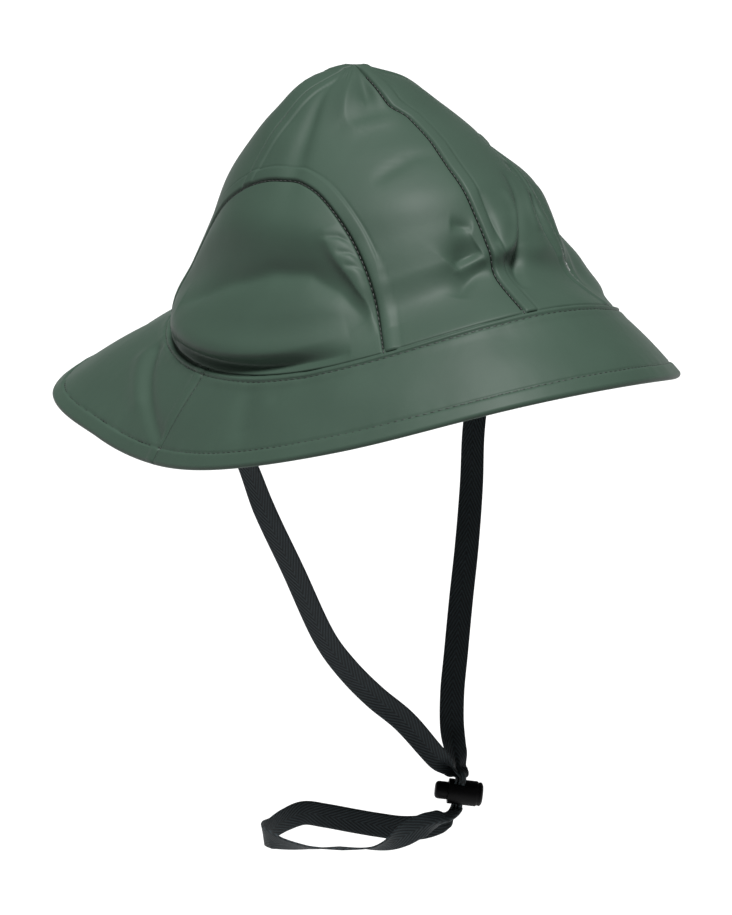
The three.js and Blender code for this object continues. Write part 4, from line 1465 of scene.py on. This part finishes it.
def smooth_path(points, per_span):
    """Centripetal Catmull-Rom path through points, per_span places to a span."""
    p = np.array([2 * points[0] - points[1], *points, 2 * points[-1] - points[-2]])
    knot = np.concatenate(([0.0], np.cumsum(np.diff(run_along(p)) ** 0.5)))
    share = np.linspace(0, 1, per_span, endpoint=False)
    spans = []
    for i in range(1, len(p) - 2):
        t0, t1, t2, t3 = knot[i - 1:i + 3]
        t = (t1 + (t2 - t1) * share)[:, None]
        a1 = ((t1 - t) * p[i - 1] + (t - t0) * p[i]) / (t1 - t0)
        a2 = ((t2 - t) * p[i] + (t - t1) * p[i + 1]) / (t2 - t1)
        a3 = ((t3 - t) * p[i + 1] + (t - t2) * p[i + 2]) / (t3 - t2)
        b1 = ((t2 - t) * a1 + (t - t0) * a2) / (t2 - t0)
        b2 = ((t3 - t) * a2 + (t - t1) * a3) / (t3 - t1)
        spans.append(((t2 - t) * b1 + (t - t1) * b2) / (t2 - t1))
    return np.concatenate([*spans, points[-1:]])


def tape_profile(fold, width, thickness):
    """Section of the tape for each fold share, as offsets across and towards its face.

    The middle of the tape bends to a round fold, and its halves stay straight. The
    edges are rounded over the tape's thickness.
    """
    half = width / 2
    # Places across the tape, closest together at its edges and round the fold
    cuts = np.array([-half, -half + 0.3, -half * 0.75, -half * 0.5, -2.0, -TAPE_FOLD_ARC])
    cuts = np.concatenate([cuts, [-0.6, -0.3, 0.0, 0.3, 0.6], -cuts[::-1]])
    turn = np.maximum(np.radians(TAPE_FULL_FOLD) * fold / 2, 1e-4)[:, None]
    inside = np.clip(cuts, -TAPE_FOLD_ARC, TAPE_FOLD_ARC)
    bend = turn * inside / TAPE_FOLD_ARC
    radius = TAPE_FOLD_ARC / turn
    u = radius * np.sin(bend) + (cuts - inside) * np.cos(bend)
    v = radius * (1 - np.cos(bend)) + (cuts - inside) * np.sin(bend)
    v = v - v[:, :1] / 2
    # The faces close in to a third of the thickness at the very edges
    depth = np.where(np.abs(cuts) > half - 0.1, 0.35, 1.0) * thickness / 2
    front, back = (
        np.stack([u - np.sin(bend) * lift, v + np.cos(bend) * lift], axis=-1)
        for lift in (depth, -depth)
    )
    return np.concatenate([front, back[:, ::-1]], axis=1), np.concatenate([cuts, cuts[::-1]])


class HAT_OT_chin_strap(bpy.types.Operator):
    """Makes the chin strap's herringbone tape along its whole route"""

    bl_idname = "hat.chin_strap"
    bl_label = "Chin strap"

    def execute(self, context):
        settings = context.scene.hat_strap
        stations = strap_stations()
        path = smooth_path(stations[:, :3], PLACES_PER_SPAN)
        at = np.linspace(0, len(stations) - 1, len(path))
        low = np.clip(at.astype(int), 0, len(stations) - 2)
        mix = (at - low)[:, None]
        face = stations[low, 3:6] * (1 - mix) + stations[low + 1, 3:6] * mix
        ease = (mix * mix * (3 - 2 * mix))[:, 0]
        fold = stations[low, 6] * (1 - ease) + stations[low + 1, 6] * ease
        ahead = unit(np.gradient(path, axis=0))
        face = unit(face - ahead * (face * ahead).sum(-1, keepdims=True))
        across = unit(np.cross(ahead, face))
        section, cuts = tape_profile(fold, settings.width, settings.thickness)
        points = path[:, None] + across[:, None] * section[..., :1] + face[:, None] * section[..., 1:]
        uv = np.stack(np.meshgrid(cuts, run_along(path)), axis=-1)
        mesh = grid_mesh("chin_strap", points, uv, close_across=True)
        close_ends(mesh, points.shape[:2])
        webbing = material_named("herringbone webbing", herringbone_tape, settings)
        place("chin_strap_tape", mesh, [webbing], "hat", "webbing", ["chin_strap"])
        outward_volume(mesh)
        return {"FINISHED"}


# Cord lock


def turned_mesh(name, profile, segments=72):
    """Closed turned body: a profile of run along the axis and radius, carried round."""
    run, radius = np.array(profile, float).T
    turn = np.arange(segments) * 2 * np.pi / segments
    axis, side, low = lock_frame()
    ring = np.cos(turn)[:, None] * side + np.sin(turn)[:, None] * low
    points = np.array(LOCK_CENTRE) + axis * run[:, None, None] + ring * radius[:, None, None]
    return grid_mesh(name, points, close_across=True)


def tidy_turned(mesh):
    """Merges the poles of a turned body and turns its faces outwards."""
    made = bmesh.new()
    made.from_mesh(mesh)
    bmesh.ops.remove_doubles(made, verts=made.verts, dist=1e-6)
    bmesh.ops.recalc_face_normals(made, faces=made.faces)
    made.to_mesh(mesh)
    made.free()
    outward_volume(mesh)


def rounded(profile, radius, arc_steps=4):
    """Rounds the corners of a profile with short arcs, and doubles its end points."""
    p = np.array(profile, float)
    out = [p[0], p[0]]
    for before, corner, after in zip(p[:-2], p[1:-1], p[2:]):
        to_before, to_after = before - corner, after - corner
        reach = min(radius, np.linalg.norm(to_before) / 2.1, np.linalg.norm(to_after) / 2.1)
        start = corner + to_before / np.linalg.norm(to_before) * reach
        end = corner + to_after / np.linalg.norm(to_after) * reach
        for t in np.linspace(0, 1, arc_steps + 1):
            out.append((1 - t) ** 2 * start + 2 * t * (1 - t) * corner + t * t * end)
    return [*out, p[-1], p[-1]]


def cut_window(piece, start, end):
    """Cuts the strap's window through a lock piece and keeps the result."""
    axis, side, low = lock_frame()
    mesh = bpy.data.meshes.new("window")
    corner = np.array([[x, y, z] for x in (start, end) for y in (-0.5, 0.5) for z in (-12, 12)], float)
    corner[:, 1] *= WINDOW_ACROSS
    points = np.array(LOCK_CENTRE) + corner @ np.array([axis, side, low])
    faces = [(0, 1, 3, 2), (4, 6, 7, 5), (0, 4, 5, 1), (2, 3, 7, 6), (0, 2, 6, 4), (1, 5, 7, 3)]
    mesh.from_pydata((points * MM).tolist(), [], faces)
    cutter = bpy.data.objects.new("window", mesh)
    bpy.context.scene.collection.objects.link(cutter)
    cut = piece.modifiers.new("window", "BOOLEAN")
    cut.operation = "DIFFERENCE"
    cut.solver = "EXACT"
    cut.object = cutter
    bpy.context.view_layer.update()
    shown = piece.evaluated_get(bpy.context.evaluated_depsgraph_get())
    result = bpy.data.meshes.new_from_object(shown)
    piece.modifiers.clear()
    piece.data = result
    bpy.data.objects.remove(cutter)
    result.polygons.foreach_set("use_smooth", np.ones(len(result.polygons), dtype=bool))
    result.set_sharp_from_angle(angle=math.radians(35))


class HAT_OT_cord_lock(bpy.types.Operator):
    """Makes the cord lock's barrel and its spring button"""

    bl_idname = "hat.cord_lock"
    bl_label = "Cord lock"

    def execute(self, context):
        settings = context.scene.hat_lock
        nylon = material_named("moulded nylon", moulded_nylon, settings)
        radius = settings.diameter / 2
        bore = radius - settings.wall
        shaft = bore - BUTTON_CLEARANCE
        floor, end = BARREL_END - settings.wall, BARREL_END
        # A groove round the closed end, then a crowned end face
        barrel = rounded([
            (floor, 0), (floor, bore), (BARREL_MOUTH, bore), (BARREL_MOUTH, radius),
            (end - 2.6, radius), (end - 2.3, radius - 0.45), (end - 1.5, radius - 0.45),
            (end - 1.2, radius - 0.2), (end - 0.5, radius - 0.7), (end, radius - 1.8), (end, 0),
        ], 0.35)
        start = BUTTON_END
        button = rounded([
            (start, 0), (start, shaft - 1.2), (start + 0.6, shaft - 0.3), (start + 1.4, shaft),
            (BUTTON_INNER, shaft), (BUTTON_INNER, 0),
        ], 0.5)
        window = WINDOW_LONG / 2
        for name, profile, body, start in (
            ("lock_barrel", barrel, "hat", -window),
            ("lock_button", button, "button", -window - BUTTON_TRAVEL),
        ):
            mesh = turned_mesh(name, profile)
            tidy_turned(mesh)
            piece = place(name + "_moulding", mesh, [nylon], body, "lock_plastic", [name])
            cut_window(piece, start, window)
        return {"FINISHED"}


# Stage


CAMERA_TARGET = Vector((-20.2, -13.8, -56.8)) * MM
PHOTO_LONG_SIDE = 915
PIXELS_PER_MM = 2.4
SENSOR_WIDTH = 36.0
FLOOR_HALF = 20000.0
# The sky is dim, so that the two lamps model the folds
SKY_STRENGTH = 0.14
# A wide sun from above: turn, lift, width in degrees, and strength
SUN = (-30.0, 77.0, 18.0, 7.9)
# A small lamp on the near side: turn, lift, distance and size in metres, watts
SIDE_LAMP = (-110.0, 55.0, 1.5, 0.5, 2.0)


def stand(name, data, back, distance, target=Vector((0, 0, 0))):
    """Stands a lamp or camera off from a target, and turns it to look there."""
    stood = bpy.data.objects.new(name, data)
    bpy.context.scene.collection.objects.link(stood)
    stood.location = target + Vector(back) * distance
    stood.rotation_mode = "QUATERNION"
    stood.rotation_quaternion = Vector(-back).to_track_quat("-Z", "Y")
    return stood


class HAT_OT_stage(bpy.types.Operator):
    """Sets the floor, the soft light and the camera at the photo's angle"""

    bl_idname = "hat.stage"
    bl_label = "Stage"

    def execute(self, context):
        settings = context.scene.hat_stage
        self.add_floor(settings)
        self.add_lights(context.scene)
        self.add_camera(context.scene, settings)
        return {"FINISHED"}

    def add_floor(self, settings):
        corners = np.array([(-1, -1, 0), (1, -1, 0), (1, 1, 0), (-1, 1, 0)]) * FLOOR_HALF
        corners[:, 2] = settings.floor / MM
        mesh = face_mesh("floor", corners, np.array([[0, 1, 2, 3]]))
        floor = bpy.data.objects.new("floor", mesh)
        bpy.context.scene.collection.objects.link(floor)
        mesh.materials.append(material_named("matt pale grey paper", paper_floor))

    def add_lights(self, scene):
        world = bpy.data.worlds.new("studio")
        scene.world = world
        world.use_nodes = True
        shade = world.node_tree.nodes["Background"]
        shade.inputs["Color"].default_value = (1.0, 1.0, 1.0, 1.0)
        shade.inputs["Strength"].default_value = SKY_STRENGTH
        sun = bpy.data.lights.new("overhead", "SUN")
        turn, lift, width, sun.energy = SUN
        sun.angle = math.radians(width)
        stand("overhead", sun, facing(turn, lift), 0.0)
        lamp = bpy.data.lights.new("side", "AREA")
        turn, lift, distance, lamp.size, lamp.energy = SIDE_LAMP
        lamp.shape = "DISK"
        stand("side", lamp, facing(turn, lift), distance)
        scene.view_settings.view_transform = "Standard"

    def add_camera(self, scene, settings):
        data = bpy.data.cameras.new("camera")
        data.sensor_width = SENSOR_WIDTH
        data.lens = SENSOR_WIDTH * PIXELS_PER_MM * settings.distance / MM / PHOTO_LONG_SIDE
        back = facing(settings.azimuth, settings.elevation)
        scene.camera = stand("camera", data, back, settings.distance, CAMERA_TARGET)


class VIEW3D_PT_hat(bpy.types.Panel):
    bl_label = "Sou'wester hat"
    bl_idname = "VIEW3D_PT_hat"
    bl_space_type = "VIEW_3D"
    bl_region_type = "UI"
    bl_category = "Sou'wester"

    def draw(self, context):
        scene = context.scene
        groups = (
            (scene.hat_cloth, ("hat.gores", "hat.side_panels")),
            (scene.hat_brim, ("hat.brim", "hat.stitching")),
            (scene.hat_strap, ("hat.chin_strap",)),
            (scene.hat_lock, ("hat.cord_lock",)),
            (scene.hat_stage, ("hat.stage",)),
        )
        for settings, operators in groups:
            box = self.layout.box()
            for key in settings.__annotations__:
                box.prop(settings, key)
            for operator in operators:
                box.operator(operator)


SETTINGS = {
    "hat_cloth": HatClothSettings,
    "hat_brim": HatBrimSettings,
    "hat_strap": HatStrapSettings,
    "hat_lock": HatLockSettings,
    "hat_stage": HatStageSettings,
}
OPERATORS = (
    HAT_OT_gores,
    HAT_OT_side_panels,
    HAT_OT_brim,
    HAT_OT_stitching,
    HAT_OT_chin_strap,
    HAT_OT_cord_lock,
    HAT_OT_stage,
)


def register():
    for kind in (*SETTINGS.values(), *OPERATORS, VIEW3D_PT_hat):
        bpy.utils.register_class(kind)
    for name, kind in SETTINGS.items():
        setattr(bpy.types.Scene, name, PointerProperty(type=kind))


def unregister():
    for name in SETTINGS:
        delattr(bpy.types.Scene, name)
    for kind in reversed((*SETTINGS.values(), *OPERATORS, VIEW3D_PT_hat)):
        bpy.utils.unregister_class(kind)


def main():
    register()
    bpy.ops.hat.gores()
    bpy.ops.hat.side_panels()
    bpy.ops.hat.brim()
    bpy.ops.hat.stitching()
    bpy.ops.hat.chin_strap()
    bpy.ops.hat.cord_lock()
    bpy.ops.hat.stage()


if __name__ == "__main__":
    main()
